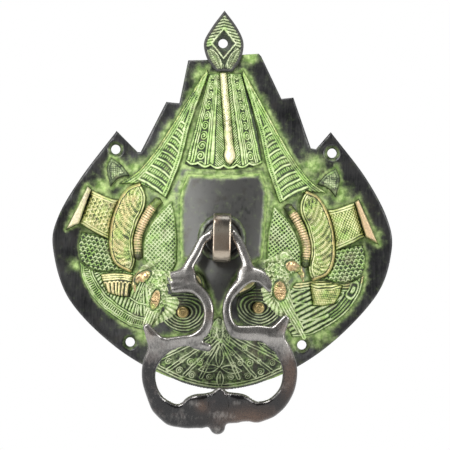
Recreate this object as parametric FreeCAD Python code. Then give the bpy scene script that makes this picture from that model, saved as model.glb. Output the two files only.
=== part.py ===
"""Brass door knocker: an ornamented animal-face back plate with a hook and a swinging bail.

Frame, in millimetres: X to the viewer's right, Z up, and the decorated side faces -Y. The door
face is the plane Y = 0. The origin lies on it, midway between the two upper screw holes.
"""

import FreeCAD
import Part
import math
import os

from FreeCAD import Vector

# Planes behind the door face and beyond the foremost part, between which prisms are cut.
BEHIND_Y = 1.0
BEYOND_Y = -60.0

# Back plate: a flat rim that rises into a hollow dome.
RIM_THICK = 3.5
WALL = 3.0
DOME_CENTRE_Z = -62.0
DOME_RISE = 19.0
DOME_HALF_WIDTH = 74.0
DOME_REACH_UP = 104.0
DOME_REACH_DOWN = 64.0
MUZZLE_RISE = 9.0
MUZZLE_Z = -84.0
MUZZLE_SPREAD_X = 24.0
MUZZLE_SPREAD_Z = 20.0
PLATE_BOTTOM_Z = -126.5

# Screw holes through the plate.
SCREW_HOLE_R = 2.5
SINK_R = 4.4
SINK_DEPTH = 1.2
UPPER_SCREW_X = 57.25
LOWER_SCREW_SPREAD = 45.4
LOWER_SCREW_SHIFT = -2.4
LOWER_SCREW_Z = -101.75
TOP_SCREW = (-1.4, 57.0)
FINIAL_THICK = 5.0

# Relief ornaments, soldered on the dome. The casting hangs lower on its right-hand side.
SOLDER_GAP = 0.02
RELIEF_SLOPE = 0.03
THIN = 1.6
MEDIUM = 2.4
THICK = 4.0
DRUM_THICK = 5.5
CAP_THICK = 7.0
EYES = {-1: (-20.0, -85.0), 1: (19.6, -82.0)}
EYE_SOCKET_R = 11.4
EYE_HEAD_R = 3.1
EYE_SEAT = 0.6
EYE_SHANK_R = 1.5
EYE_SHANK_SPARE = 2.5
PAD_CENTRE = (-0.2, -45.9)
PAD_R = 12.7
NOSE_X = -1.3

# Hook: a lug of bent strap whose slot carries the bail.
HOOK_WIDTH = 9.4
HOOK_BACK_Y = -22.0
HOOK_FRONT_Y = -38.6
HOOK_TOP_Z = -32.5
HOOK_BOTTOM_Z = -58.5
HOOK_BEND_R = 8.0
HOOK_CURL_R = 6.5
SLOT_R = 2.8
SLOT_TOP_Z = -38.2
SHANK_R = 3.0
SHANK_Z = -37.0
SHANK_END_Y = -8.0
SHANK_FIT = 0.15
SHANK_ROOT = 2.0
WASHER_R = 6.5
WASHER_THICK = 1.2
NUT_ACROSS = 10.0
NUT_THICK = 4.0

# Bail: a cast loop of varying width, carried by a round bar at the hinge axis.
HINGE_Y = -31.0
HINGE_Z = -43.7
BAR_R = 2.4
BAR_HALF_LENGTH = 5.4
BAR_ROOT = 0.5
HINGE_GAP_DEPTH = 12.0
HINGE_GAP_BELOW = 3.6
HINGE_GAP_HEIGHT = 10.0
BAIL_REACH_X = 60.0

# Centre line of the bail as (x, z, half width), clockwise from the hinge bar seen from behind.
BAIL_LEFT = [
    (-5.6, -43.8, 2.4), (-10.2, -47.2, 2.4), (-13.4, -53.7, 2.6), (-17.1, -60.4, 2.7),
    (-18.4, -65.4, 3.2), (-16.2, -69.8, 3.0), (-12.4, -73.0, 2.8), (-8.8, -76.6, 2.7),
    (-6.7, -81.2, 2.7), (-6.3, -86.4, 2.6), (-7.2, -91.6, 2.7), (-10.6, -96.2, 2.9),
    (-15.6, -99.0, 2.9), (-21.0, -99.9, 2.9), (-27.0, -101.6, 3.6), (-32.2, -104.6, 4.5),
    (-35.3, -109.4, 4.2), (-37.0, -114.6, 3.7), (-37.0, -121.0, 3.5), (-34.9, -128.0, 3.6),
    (-30.8, -134.2, 4.3), (-24.8, -138.8, 5.1),
]
BAIL_RIGHT = [
    (20.0, -136.8, 4.9), (26.0, -135.0, 4.2), (31.0, -131.2, 3.9), (34.8, -125.4, 3.8),
    (36.4, -119.0, 3.8), (36.2, -112.4, 3.9), (34.0, -106.2, 4.1), (30.8, -100.8, 4.3),
    (26.4, -96.4, 4.3), (20.4, -94.8, 4.1), (13.6, -94.9, 3.9), (7.6, -94.0, 3.4),
    (4.2, -89.4, 2.6), (3.0, -82.6, 2.3), (4.4, -76.2, 2.4), (8.6, -70.6, 2.8),
    (12.4, -65.6, 3.2), (13.2, -59.4, 2.7), (10.9, -53.0, 2.5), (8.4, -47.4, 2.4),
    (5.6, -43.8, 2.4),
]
BOSS = [
    (-24.8, -138.8, 5.1), (-18.4, -139.2, 6.6), (-12.0, -137.2, 8.8), (-6.0, -136.0, 8.6),
    (-0.6, -134.8, 8.8), (6.0, -134.8, 8.3), (11.6, -135.0, 7.7), (16.6, -136.2, 5.9),
    (20.0, -136.8, 4.9),
]
# Short stubs of the casting, each a straight run with its half widths.
STUBS = {
    "scroll_end": [(-12.6, -101.4, 2.2), (-6.6, -102.8, 2.0)],
    "left_foot": [(-32.4, -102.6, 5.0), (-38.2, -92.8, 2.1)],
    "left_shoulder": [(-17.6, -65.6, 4.2), (-26.4, -66.4, 2.6)],
    "left_claw": [(-16.4, -70.6, 3.2), (-24.6, -72.8, 2.1)],
    "right_shoulder": [(12.6, -64.0, 4.2), (20.6, -65.6, 3.6), (25.4, -71.0, 2.6)],
    "right_foot": [(27.6, -97.2, 5.0), (33.6, -87.2, 2.2)],
    "centre_bump": [(-0.2, -128.0, 3.2), (0.0, -126.4, 2.7)],
    "tongue": [(-1.0, -140.0, 4.4), (-0.8, -145.2, 4.0)],
}
# Side profile of the bail as (z, middle y, half thickness).
BAIL_PROFILE = [
    (-40.0, -31.0, 2.4), (-47.0, -31.4, 2.4), (-58.0, -34.8, 2.8), (-70.0, -38.4, 3.2),
    (-84.0, -40.2, 3.3), (-97.0, -39.2, 3.4), (-110.0, -34.4, 3.5), (-122.0, -27.8, 3.8),
    (-134.0, -21.0, 4.4), (-151.0, -14.6, 3.8),
]
# Each parrot's middle line from crown to tail as (x, z, radius), with its beak tip.
PARROTS = {
    "parrot_left": {
        "spine": [(-40.6, -64.2, 2.2), (-38.6, -66.6, 3.7), (-34.6, -68.4, 4.4),
                  (-32.6, -73.2, 5.2), (-33.8, -79.2, 4.6), (-36.0, -85.0, 3.2),
                  (-38.0, -91.0, 1.8)],
        "beak": [(-40.8, -65.4, 2.6), (-45.2, -71.8, 0.7)],
        "wing": [(-32.6, -76.6, 3.2), (-25.4, -80.6, 2.4)],
    },
    "parrot_right": {
        "spine": [(32.2, -53.4, 2.2), (34.2, -58.4, 3.8), (30.6, -63.4, 4.2),
                  (30.4, -70.6, 5.2), (32.8, -77.8, 4.4), (35.8, -84.2, 3.0),
                  (40.2, -90.8, 1.9), (42.6, -95.0, 1.1)],
        "beak": [(35.8, -59.2, 2.6), (42.4, -66.2, 0.7)],
        "wing": [(31.0, -72.0, 3.2), (23.4, -76.0, 2.4)],
    },
}


# Curves and prisms in the XZ plane.

def at(x, z, y=0.0):
    return Vector(x, y, z)


def spline(points):
    curve = Part.BSplineCurve()
    curve.interpolate([at(*point) for point in points])
    return curve.toShape()


def outline(*runs):
    """Close a face from runs of points: two points make a line, and more make a spline."""
    edges = []
    for run in runs:
        if len(run) == 2:
            edges.append(Part.makeLine(at(*run[0]), at(*run[1])))
        else:
            edges.append(spline(run))
    return Part.Face(Part.Wire(edges))


def corner_lines(corners):
    """Runs of straight lines from each corner to the next."""
    return [list(pair) for pair in zip(corners, corners[1:])]


def prism(face, near=BEHIND_Y, far=BEYOND_Y):
    lifted = face.copy()
    lifted.translate(Vector(0, near, 0))
    return lifted.extrude(Vector(0, far - near, 0))


def round_prism(centre, radius, near=BEHIND_Y, far=BEYOND_Y):
    return Part.makeCylinder(radius, near - far, at(centre[0], centre[1], near), Vector(0, -1, 0))


def sided(side, run):
    """Place points given for the right-hand side on the wanted side of the face."""
    return [(side * x, z - RELIEF_SLOPE * side * x) for x, z in run]


def sided_outline(side, *runs):
    return outline(*[sided(side, run) for run in runs])


# The dome and the slabs that lie on it.

def dome_height(x, z):
    rise_z = z - DOME_CENTRE_Z
    reach = DOME_REACH_UP if rise_z > 0 else DOME_REACH_DOWN
    ratio = min(1.0, math.hypot(x / DOME_HALF_WIDTH, rise_z / reach))
    swell = DOME_RISE * (0.5 + 0.5 * math.cos(math.pi * ratio))
    spread = (x / MUZZLE_SPREAD_X) ** 2 + ((z - MUZZLE_Z) / MUZZLE_SPREAD_Z) ** 2
    return RIM_THICK + swell + MUZZLE_RISE * math.exp(-0.5 * spread)


def dome_face():
    step_x, step_z = 8.0, 7.0
    columns = [step_x * i for i in range(-13, 14)]
    rows = [PLATE_BOTTOM_Z - 9.0 + step_z * j for j in range(32)]
    grid = [[Vector(x, -dome_height(x, z), z) for z in rows] for x in columns]
    surface = Part.BSplineSurface()
    surface.interpolate(grid)
    return surface.toShape()


DOME = dome_face()


def slab(base, thick):
    """Solid between two copies of the dome surface, raised by base and by base + thick."""
    face = DOME.copy()
    face.translate(Vector(0, -base, 0))
    return face.extrude(Vector(0, -thick, 0))


def one_solid(shape):
    return max(shape.Solids, key=lambda solid: solid.Volume)


def ornament(face, thick, base=0.0, cuts=()):
    solid = slab(base + SOLDER_GAP, thick).common(prism(face))
    for cut in cuts:
        solid = solid.cut(cut)
    return one_solid(solid)


# Outlines of the plate and its ornaments.

def plate_outline():
    ear_left, ear_right = (-56.9, 9.8), (56.4, 11.2)
    left_side = [ear_left, (-75.5, -15.5), (-87.2, -36.5), (-89.5, -53.0), (-80.7, -79.4),
                 (-57.0, -103.4), (-30.0, -118.8), (0.0, PLATE_BOTTOM_Z)]
    right_side = [(0.0, PLATE_BOTTOM_Z), (30.0, -118.8), (57.5, -101.6), (82.0, -75.0),
                  (89.6, -52.0), (87.4, -35.0), (75.5, -13.0), ear_right]
    steps = [ear_right, (48.7, 2.0), (46.0, 2.4), (36.3, 29.1), (30.0, 28.3), (18.9, 50.6),
             (17.6, 52.0), (8.0, 51.2), (-8.0, 48.3), (-19.7, 47.8), (-24.0, 25.0),
             (-30.9, 25.6), (-44.0, -1.2), (-45.6, -1.2), ear_left]
    return outline(left_side, right_side, *corner_lines(steps))


def finial_outline():
    tip, base_left, base_right = (-0.9, 74.4), (-4.8, 42.0), (3.8, 42.0)
    return outline(
        [tip, (-7.4, 65.4), (-11.5, 57.0), (-9.4, 48.2), base_left],
        [base_left, base_right],
        [base_right, (8.0, 48.6), (9.4, 57.4), (5.8, 65.6), tip],
    )


def crest_outline():
    lobes = [(-20.4, -7.2), (-14.4, -9.0), (-8.2, -9.6), (0.0, -9.8), (8.6, -9.2),
             (14.8, -8.2), (20.4, -6.2)]
    return outline(
        [(-8.2, 40.8), (-14.4, 16.0), lobes[0]],
        lobes,
        [lobes[-1], (16.2, 16.0), (8.4, 41.2)],
        [(8.4, 41.2), (-8.2, 40.8)],
    )


def spine_outline():
    bulb_left, bulb_right, bulb_bottom = (0.2, -3.4), (6.2, -3.4), (3.2, -7.4)
    return outline(
        [(-3.0, 41.6), (0.6, 1.0)],
        [(0.6, 1.0), bulb_left, bulb_bottom, bulb_right, (5.4, 1.0)],
        [(5.4, 1.0), (0.8, 41.6)],
        [(0.8, 41.6), (-3.0, 41.6)],
    )


def wing_outline(side):
    return sided_outline(
        side,
        [(9.6, 43.2), (19.0, 27.6), (28.6, 11.0), (37.4, -3.0), (46.0, -13.4), (55.0, -19.6)],
        [(55.0, -19.6), (44.0, -19.6), (36.0, -22.8), (30.0, -26.2)],
        [(30.0, -26.2), (25.6, -15.0), (22.0, -4.0), (17.6, 14.0), (9.0, 40.6)],
        [(9.0, 40.6), (9.6, 43.2)],
    )


def face_shield_outline():
    nose = [(21.2, -56.0), (NOSE_X + 13.2, -61.4), (NOSE_X + 8.2, -67.0),
            (NOSE_X + 4.6, -74.6), (NOSE_X, -86.0), (NOSE_X - 4.6, -74.6),
            (NOSE_X - 8.2, -67.0), (NOSE_X - 13.2, -61.4), (-21.4, -56.4)]
    return outline(
        [(-18.6, -12.6), (0.4, -13.2), (19.6, -11.4)],
        [(19.6, -11.4), (23.0, -22.0), (22.4, -38.0), nose[0]],
        nose,
        [nose[-1], (-22.4, -40.0), (-22.2, -24.0), (-18.6, -12.6)],
    )


def temple_outline(side):
    return sided_outline(
        side,
        [(26.8, -27.6), (34.0, -34.6), (38.6, -42.0), (41.4, -50.0), (41.6, -58.0)],
        [(41.6, -58.0), (36.0, -64.0), (28.0, -66.4), (23.8, -60.0)],
        [(23.8, -60.0), (24.0, -44.0), (26.8, -27.6)],
    )


def horn_outline(side):
    return sided_outline(
        side,
        [(31.8, -28.6), (36.0, -34.2), (40.0, -41.6), (42.2, -49.0), (41.8, -58.4)],
        [(41.8, -58.4), (44.0, -59.6), (46.2, -58.4)],
        [(46.2, -58.4), (46.8, -48.6), (44.4, -39.6), (40.4, -32.0), (36.2, -26.4)],
        [(36.2, -26.4), (33.6, -26.2), (31.8, -28.6)],
    )


def ear_leaf_outline(side):
    tip = (43.8, -18.6)
    return sided_outline(
        side,
        [tip, (50.8, -22.0), (56.2, -30.6), (59.4, -42.0), (59.6, -54.0), (56.2, -62.4),
         (48.0, -66.6)],
        [(48.0, -66.6), (45.6, -60.0), (46.8, -50.0), (44.6, -39.6), (41.2, -32.0),
         (40.8, -25.0), tip],
    )


def drum_outline(side):
    return sided_outline(
        side,
        [(52.0, -28.6), (60.0, -27.4), (69.4, -23.8)],
        [(69.4, -23.8), (75.4, -41.8)],
        [(75.4, -41.8), (68.0, -46.0), (57.0, -51.0)],
        [(57.0, -51.0), (52.0, -28.6)],
    )


def drum_cap_outline(side):
    corners = [(69.5, -23.7), (71.7, -21.6), (82.9, -45.6), (75.5, -41.9)]
    return sided_outline(side, *corner_lines(corners + corners[:1]))


def small_leaf_outline(side):
    apex = (59.5, -6.2)
    return sided_outline(
        side,
        [apex, (61.6, -12.0), (59.6, -21.4)],
        [(59.6, -21.4), (55.4, -17.0), (49.6, -15.2)],
        [(49.6, -15.2), (54.0, -9.8), apex],
    )


def scale_collar_outline(side):
    return sided_outline(
        side,
        [(56.0, -51.4), (66.0, -47.6), (74.4, -46.2)],
        [(74.4, -46.2), (75.8, -54.0), (74.4, -61.6)],
        [(74.4, -61.6), (66.0, -66.2), (52.0, -65.4)],
        [(52.0, -65.4), (56.0, -51.4)],
    )


def lower_wing_outline(side):
    return sided_outline(
        side,
        [(75.4, -62.0), (73.2, -71.6), (66.6, -81.8), (58.0, -89.0), (48.0, -94.6),
         (38.0, -96.4)],
        [(38.0, -96.4), (33.6, -88.0), (34.0, -76.0), (39.0, -67.6)],
        [(39.0, -67.6), (52.0, -66.0), (66.0, -66.8), (75.4, -62.0)],
    )


def basket_outline(side):
    return sided_outline(
        side,
        [(46.6, -67.4), (55.0, -66.8), (63.8, -68.0)],
        [(63.8, -68.0), (62.4, -73.0), (59.8, -77.6)],
        [(59.8, -77.6), (54.0, -79.0), (48.4, -79.2)],
        [(48.4, -79.2), (46.6, -67.4)],
    )


def brow_outline(side):
    return sided_outline(
        side,
        [(7.4, -76.6), (9.6, -70.4), (14.2, -66.4), (19.8, -66.2)],
        [(19.8, -66.2), (16.4, -71.6), (7.4, -76.6)],
    )


def snout_outline():
    edge = [(-34.0, -115.6), (-18.0, -122.6), (0.0, PLATE_BOTTOM_Z + 1.0), (18.0, -122.6),
            (34.0, -115.6)]
    return outline(
        [(-1.3, -87.0), (-10.0, -94.0), (-21.0, -98.2), (-31.6, -99.0)],
        [(-31.6, -99.0), (-35.6, -107.0), (-34.0, -115.6)],
        edge,
        [(34.0, -115.6), (35.0, -107.0), (31.0, -99.0)],
        [(31.0, -99.0), (20.0, -96.4), (9.0, -92.6), (-1.3, -87.0)],
    )


# Back plate and finial.

def screw_hole(x, z, front):
    """Through hole with a countersink below a front face at the height given."""
    hole = round_prism((x, z), SCREW_HOLE_R)
    sink = Part.makeCone(SCREW_HOLE_R, SINK_R, SINK_DEPTH, at(x, z, SINK_DEPTH - front),
                         Vector(0, -1, 0))
    clear = round_prism((x, z), SINK_R, near=-front)
    return hole.fuse([sink, clear])


def lower_screws():
    return [(LOWER_SCREW_SHIFT + side * LOWER_SCREW_SPREAD, LOWER_SCREW_Z) for side in (-1, 1)]


def cavity():
    """The hollow behind the dome, open to the door."""
    rim = [(0, 24), (20, 6), (38, -14), (58, -34), (64, -58), (56, -84), (32, -103), (0, -112)]
    mirrored = [(-x, z) for x, z in reversed(rim[1:-1])]
    curve = Part.BSplineCurve()
    curve.interpolate([at(*point) for point in rim + mirrored], PeriodicFlag=True)
    opening = prism(Part.Face(Part.Wire([curve.toShape()])))
    return slab(-WALL, BEYOND_Y).common(opening)


def make_plate():
    solid = slab(0.0, BEYOND_Y).common(prism(plate_outline(), near=0.0))
    solid = solid.cut(cavity())
    for x in (-UPPER_SCREW_X, UPPER_SCREW_X):
        solid = solid.cut(screw_hole(x, 0.0, RIM_THICK))
    for x, z in lower_screws():
        solid = solid.cut(screw_hole(x, z, RIM_THICK))
    solid = solid.cut(prism(finial_outline()))
    solid = solid.cut(round_prism((0.0, SHANK_Z), SHANK_R + SHANK_FIT))
    for centre in EYES.values():
        solid = solid.cut(round_prism(centre, EYE_SHANK_R))
    return one_solid(solid)


def make_finial():
    solid = prism(finial_outline(), near=0.0, far=-FINIAL_THICK)
    return solid.cut(screw_hole(TOP_SCREW[0], TOP_SCREW[1], FINIAL_THICK))


# Relief ornaments.

def screw_room():
    """Space kept free of ornament round the lower screw heads."""
    return [round_prism(centre, SINK_R + 0.4) for centre in lower_screws()]


def centre_ornaments():
    finial = prism(finial_outline())
    spine = prism(spine_outline())
    sockets = [round_prism(centre, EYE_SOCKET_R) for centre in EYES.values()]
    brows = [prism(brow_outline(side)) for side in EYES]
    shank = round_prism((0.0, SHANK_Z), SHANK_R + SHANK_FIT)
    shield = ornament(face_shield_outline(), MEDIUM, cuts=[shank] + brows)
    pad = slab(MEDIUM + 2 * SOLDER_GAP, THIN).common(round_prism(PAD_CENTRE, PAD_R))
    return {
        "crest_panel": ornament(crest_outline(), THIN, cuts=[finial, spine]),
        "crest_spine": ornament(spine_outline(), THICK, cuts=[finial]),
        "face_shield": shield,
        "hook_pad": one_solid(pad.cut(shank)),
        "snout_fan": ornament(snout_outline(), THIN,
                              cuts=sockets + screw_room() + [prism(face_shield_outline())]),
    }


def side_ornaments(side, name):
    leaf = prism(small_leaf_outline(side))
    ear = prism(ear_leaf_outline(side))
    horn = prism(horn_outline(side))
    basket = prism(basket_outline(side))
    crest = prism(crest_outline())
    shield = prism(face_shield_outline())
    brow = prism(brow_outline(side))
    socket = round_prism(EYES[side], EYE_SOCKET_R)
    shank = round_prism(EYES[side], EYE_SHANK_R)
    drum = prism(drum_outline(side))
    collar_cuts = [ear, drum, prism(drum_cap_outline(side))]
    wing_cuts = [basket, socket, ear, prism(scale_collar_outline(side))] + screw_room()
    return {
        "crest_wing_" + name: ornament(wing_outline(side), MEDIUM, cuts=[leaf, ear, crest]),
        "temple_" + name: ornament(temple_outline(side), MEDIUM, cuts=[horn, shield, brow]),
        "horn_" + name: ornament(horn_outline(side), THICK),
        "ear_leaf_" + name: ornament(ear_leaf_outline(side), THICK, cuts=[horn]),
        "drum_" + name: ornament(drum_outline(side), DRUM_THICK, cuts=[ear]),
        "drum_cap_" + name: ornament(drum_cap_outline(side), CAP_THICK),
        "small_leaf_" + name: ornament(small_leaf_outline(side), MEDIUM),
        "scale_collar_" + name: ornament(scale_collar_outline(side), MEDIUM, cuts=collar_cuts),
        "lower_wing_" + name: ornament(lower_wing_outline(side), THIN, cuts=wing_cuts),
        "basket_" + name: ornament(basket_outline(side), THICK, cuts=[ear]),
        "brow_" + name: ornament(brow_outline(side), THICK),
        "eye_socket_" + name: make_socket(side, [shank, shield, brow]),
        "eye_stud_" + name: make_eye_stud(side),
    }


def make_socket(side, cuts):
    disc = round_prism(EYES[side], EYE_SOCKET_R)
    solid = slab(SOLDER_GAP, MEDIUM).common(disc)
    for cut in cuts:
        solid = solid.cut(cut)
    return one_solid(solid)


def make_eye_stud(side):
    """Round-headed rivet through the socket and the plate."""
    x, z = EYES[side]
    seat = -(dome_height(x, z) + MEDIUM + EYE_SEAT)
    head = Part.makeSphere(EYE_HEAD_R, at(x, z, seat))
    head = head.cut(slab(MEDIUM + 2 * SOLDER_GAP, BEYOND_Y))
    shank_length = WALL + MEDIUM + EYE_SHANK_SPARE
    shank = Part.makeCylinder(EYE_SHANK_R - SOLDER_GAP, shank_length, at(x, z, seat),
                              Vector(0, 1, 0))
    return one_solid(head.fuse(shank).removeSplitter())


# Hook and its fastening.

def side_face(points_runs):
    """Face in the YZ plane from runs of (y, z) points: lines for pairs, arcs for triples."""
    edges = []
    for run in points_runs:
        ends = [Vector(0, y, z) for y, z in run]
        if len(ends) == 2:
            edges.append(Part.makeLine(*ends))
        else:
            edges.append(Part.Arc(*ends).toShape())
    return Part.Face(Part.Wire(edges))


def strap_face():
    """Side view of the hook's strap: its upper and lower front corners are rounded."""
    top, bottom, front, back = HOOK_TOP_Z, HOOK_BOTTOM_Z, HOOK_FRONT_Y, HOOK_BACK_Y
    bend, curl = HOOK_BEND_R, HOOK_CURL_R
    corner = 1.0 - math.sqrt(0.5)
    return side_face([
        [(back, top), (front + bend, top)],
        [(front + bend, top), (front + bend * corner, top - bend * corner), (front, top - bend)],
        [(front, top - bend), (front, bottom + curl)],
        [(front, bottom + curl), (front + curl * corner, bottom + curl * corner),
         (front + curl, bottom)],
        [(front + curl, bottom), (back, bottom)],
        [(back, bottom), (back, top)],
    ])


def slot_face():
    """Side view of the slot: upright, with the hinge axis at the centre of its lower end."""
    front, back = HINGE_Y - SLOT_R, HINGE_Y + SLOT_R
    return side_face([
        [(front, SLOT_TOP_Z), (HINGE_Y, SLOT_TOP_Z + SLOT_R), (back, SLOT_TOP_Z)],
        [(back, SLOT_TOP_Z), (back, HINGE_Z)],
        [(back, HINGE_Z), (HINGE_Y, HINGE_Z - SLOT_R), (front, HINGE_Z)],
        [(front, HINGE_Z), (front, SLOT_TOP_Z)],
    ])


def make_hook():
    body = strap_face()
    body.translate(Vector(PAD_CENTRE[0] - HOOK_WIDTH / 2, 0, 0))
    solid = body.extrude(Vector(HOOK_WIDTH, 0, 0))
    slot = slot_face()
    slot.translate(Vector(-HOOK_WIDTH, 0, 0))
    solid = solid.cut(slot.extrude(Vector(2 * HOOK_WIDTH, 0, 0)))
    solid = solid.cut(slab(MEDIUM + THIN + 3 * SOLDER_GAP, BEYOND_Y))
    shank = Part.makeCylinder(SHANK_R, SHANK_END_Y - HOOK_BACK_Y + SHANK_ROOT,
                              at(0.0, SHANK_Z, SHANK_END_Y), Vector(0, -1, 0))
    return one_solid(solid.fuse(shank))


def nut_face_y():
    """Flat seat for the washer, just behind the inner wall at the shank."""
    heights = [dome_height(x, SHANK_Z + z) for x in (-WASHER_R, WASHER_R)
               for z in (-WASHER_R, WASHER_R)]
    return -(min(heights) - WALL) + 0.1


def make_washer():
    near = nut_face_y() + WASHER_THICK
    ring = round_prism((0.0, SHANK_Z), WASHER_R, near=near, far=near - WASHER_THICK)
    return ring.cut(round_prism((0.0, SHANK_Z), SHANK_R + SHANK_FIT))


def make_nut():
    near = nut_face_y() + WASHER_THICK + NUT_THICK
    radius = NUT_ACROSS / math.sqrt(3.0)
    corners = [at(radius * math.cos(math.radians(60 * i)),
                  SHANK_Z + radius * math.sin(math.radians(60 * i)), near) for i in range(7)]
    block = Part.Face(Part.makePolygon(corners)).extrude(Vector(0, -NUT_THICK, 0))
    return block.cut(round_prism((0.0, SHANK_Z), SHANK_R + SOLDER_GAP))


# Bail.

def ribbon(points):
    """Face of varying width along a smooth centre line, with round ends."""
    left, right = [], []
    for index, (x, z, half) in enumerate(points):
        before = points[max(index - 1, 0)]
        after = points[min(index + 1, len(points) - 1)]
        run_x, run_z = after[0] - before[0], after[1] - before[1]
        length = math.hypot(run_x, run_z)
        side_x, side_z = -run_z / length * half, run_x / length * half
        left.append((x + side_x, z + side_z))
        right.append((x - side_x, z - side_z))
    return outline(left, [left[-1], right[-1]], right[::-1], [right[0], left[0]])


def ribbon_solid(points):
    solid = prism(ribbon(points), near=0.0)
    for x, z, half in (points[0], points[-1]):
        solid = solid.fuse(round_prism((x, z), half, near=0.0))
    return solid


def profile_band():
    """Solid band that gives the flat casting its curve and thickness, seen from the side."""
    front = [Vector(-BAIL_REACH_X, y - half, z) for z, y, half in BAIL_PROFILE]
    back = [Vector(-BAIL_REACH_X, y + half, z) for z, y, half in BAIL_PROFILE]
    edges = []
    for run in (front, back[::-1]):
        curve = Part.BSplineCurve()
        curve.interpolate(run)
        edges.append(curve.toShape())
    edges.insert(1, Part.makeLine(front[-1], back[-1]))
    edges.append(Part.makeLine(back[0], front[0]))
    return Part.Face(Part.Wire(edges)).extrude(Vector(2 * BAIL_REACH_X, 0, 0))


def make_bail():
    runs = [BAIL_LEFT, BOSS, BAIL_RIGHT] + list(STUBS.values())
    flat = ribbon_solid(runs[0])
    flat = flat.fuse([ribbon_solid(run) for run in runs[1:]])
    solid = flat.common(profile_band())
    gap = Part.makeBox(2 * BAR_HALF_LENGTH, HINGE_GAP_DEPTH, HINGE_GAP_HEIGHT,
                       Vector(-BAR_HALF_LENGTH, HINGE_Y - HINGE_GAP_DEPTH / 2,
                              HINGE_Z - HINGE_GAP_BELOW))
    bar = Part.makeCylinder(BAR_R, 2 * (BAR_HALF_LENGTH + BAR_ROOT),
                            Vector(-BAR_HALF_LENGTH - BAR_ROOT, HINGE_Y, HINGE_Z),
                            Vector(1, 0, 0))
    return one_solid(solid.cut(gap).fuse(bar).removeSplitter())


def profile_y(z):
    """Middle of the bail's thickness at a height, between the profile's points."""
    for (z0, y0, _), (z1, y1, _) in zip(BAIL_PROFILE, BAIL_PROFILE[1:]):
        if z1 <= z <= z0:
            return y0 + (y1 - y0) * (z0 - z) / (z0 - z1)
    return BAIL_PROFILE[-1][1]


def body_of_rings(points):
    """Smooth closed body through rings of the radii given, across its middle line."""
    rings = []
    for index, (x, z, radius) in enumerate(points):
        before = points[max(index - 1, 0)]
        after = points[min(index + 1, len(points) - 1)]
        run = Vector(after[0] - before[0], 0, after[1] - before[1])
        ring = Part.makeCircle(radius, at(x, z, profile_y(z)), run)
        rings.append(Part.Wire([ring]))
    return Part.makeLoft(rings, True)


def make_parrot(shape, bail):
    body = body_of_rings(shape["spine"])
    beak = body_of_rings(shape["beak"])
    wing = body_of_rings(shape["wing"])
    bird = body.fuse([beak, wing])
    return one_solid(bird.cut(bail))


def build():
    parts = {"back_plate": make_plate(), "finial": make_finial()}
    parts.update(centre_ornaments())
    for side, name in ((-1, "left"), (1, "right")):
        parts.update(side_ornaments(side, name))
    parts["hook"] = make_hook()
    parts["hook_washer"] = make_washer()
    parts["hook_nut"] = make_nut()
    parts["bail"] = make_bail()
    for name, shape in PARROTS.items():
        parts[name] = make_parrot(shape, parts["bail"])
    return parts


def report_balance(parts):
    """Print how far the hanging parts' centre of mass lies in front of the hinge axis."""
    hanging = [parts[name] for name in ("bail", "parrot_left", "parrot_right")]
    volume = sum(part.Volume for part in hanging)
    moment_y = sum(part.Volume * (part.CenterOfMass.y - HINGE_Y) for part in hanging)
    moment_z = sum(part.Volume * (part.CenterOfMass.z - HINGE_Z) for part in hanging)
    print("bail: volume %.0f mm3, centre of mass %.2f mm in front, %.1f mm below the axis"
          % (volume, -moment_y / volume, -moment_z / volume))


os.makedirs("parts", exist_ok=True)
PARTS = build()
for part_name, part_shape in PARTS.items():
    part_shape.exportStep(os.path.join("parts", part_name + ".step"))
report_balance(PARTS)
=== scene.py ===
"""Looks of the door knocker: cast relief, verdigris and rubbed brass, built round the CAD frame.

Lengths are in millimetres in the frame of the CAD part, and become metres in mesh_piece(). X runs
to the right, -Y out of the door and Z up. Only the studio and the camera are given in metres.

The relief is modelled in the meshes. Each vertex also carries numbers that the materials read:
tone (0 in the cuts, 1 on the top: patina and wear with random grime, with painted shade in the
cuts and at the foot of each ornament and painted highlights on the tops, and painted sheen and
highlights on the bail and hook), brass (how bare the metal is), green, a dark layer (painted
shade at the foot of the ornaments and in the screw holes, and a darker back) and rust.
"""

import math

import bpy
import numpy as np
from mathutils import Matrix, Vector, geometry


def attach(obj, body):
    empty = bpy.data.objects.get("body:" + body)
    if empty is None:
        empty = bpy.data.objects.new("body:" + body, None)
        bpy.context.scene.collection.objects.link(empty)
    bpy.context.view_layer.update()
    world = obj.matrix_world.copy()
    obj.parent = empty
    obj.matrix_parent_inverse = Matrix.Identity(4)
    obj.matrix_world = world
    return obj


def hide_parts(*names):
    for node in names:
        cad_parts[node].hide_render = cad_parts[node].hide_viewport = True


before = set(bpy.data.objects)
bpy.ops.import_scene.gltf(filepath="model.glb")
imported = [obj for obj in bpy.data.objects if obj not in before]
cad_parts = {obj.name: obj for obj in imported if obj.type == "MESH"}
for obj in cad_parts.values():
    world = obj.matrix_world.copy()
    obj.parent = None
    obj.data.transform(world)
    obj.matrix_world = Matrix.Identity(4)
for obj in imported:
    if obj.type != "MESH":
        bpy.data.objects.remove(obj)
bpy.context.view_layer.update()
MM = 0.001

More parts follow.
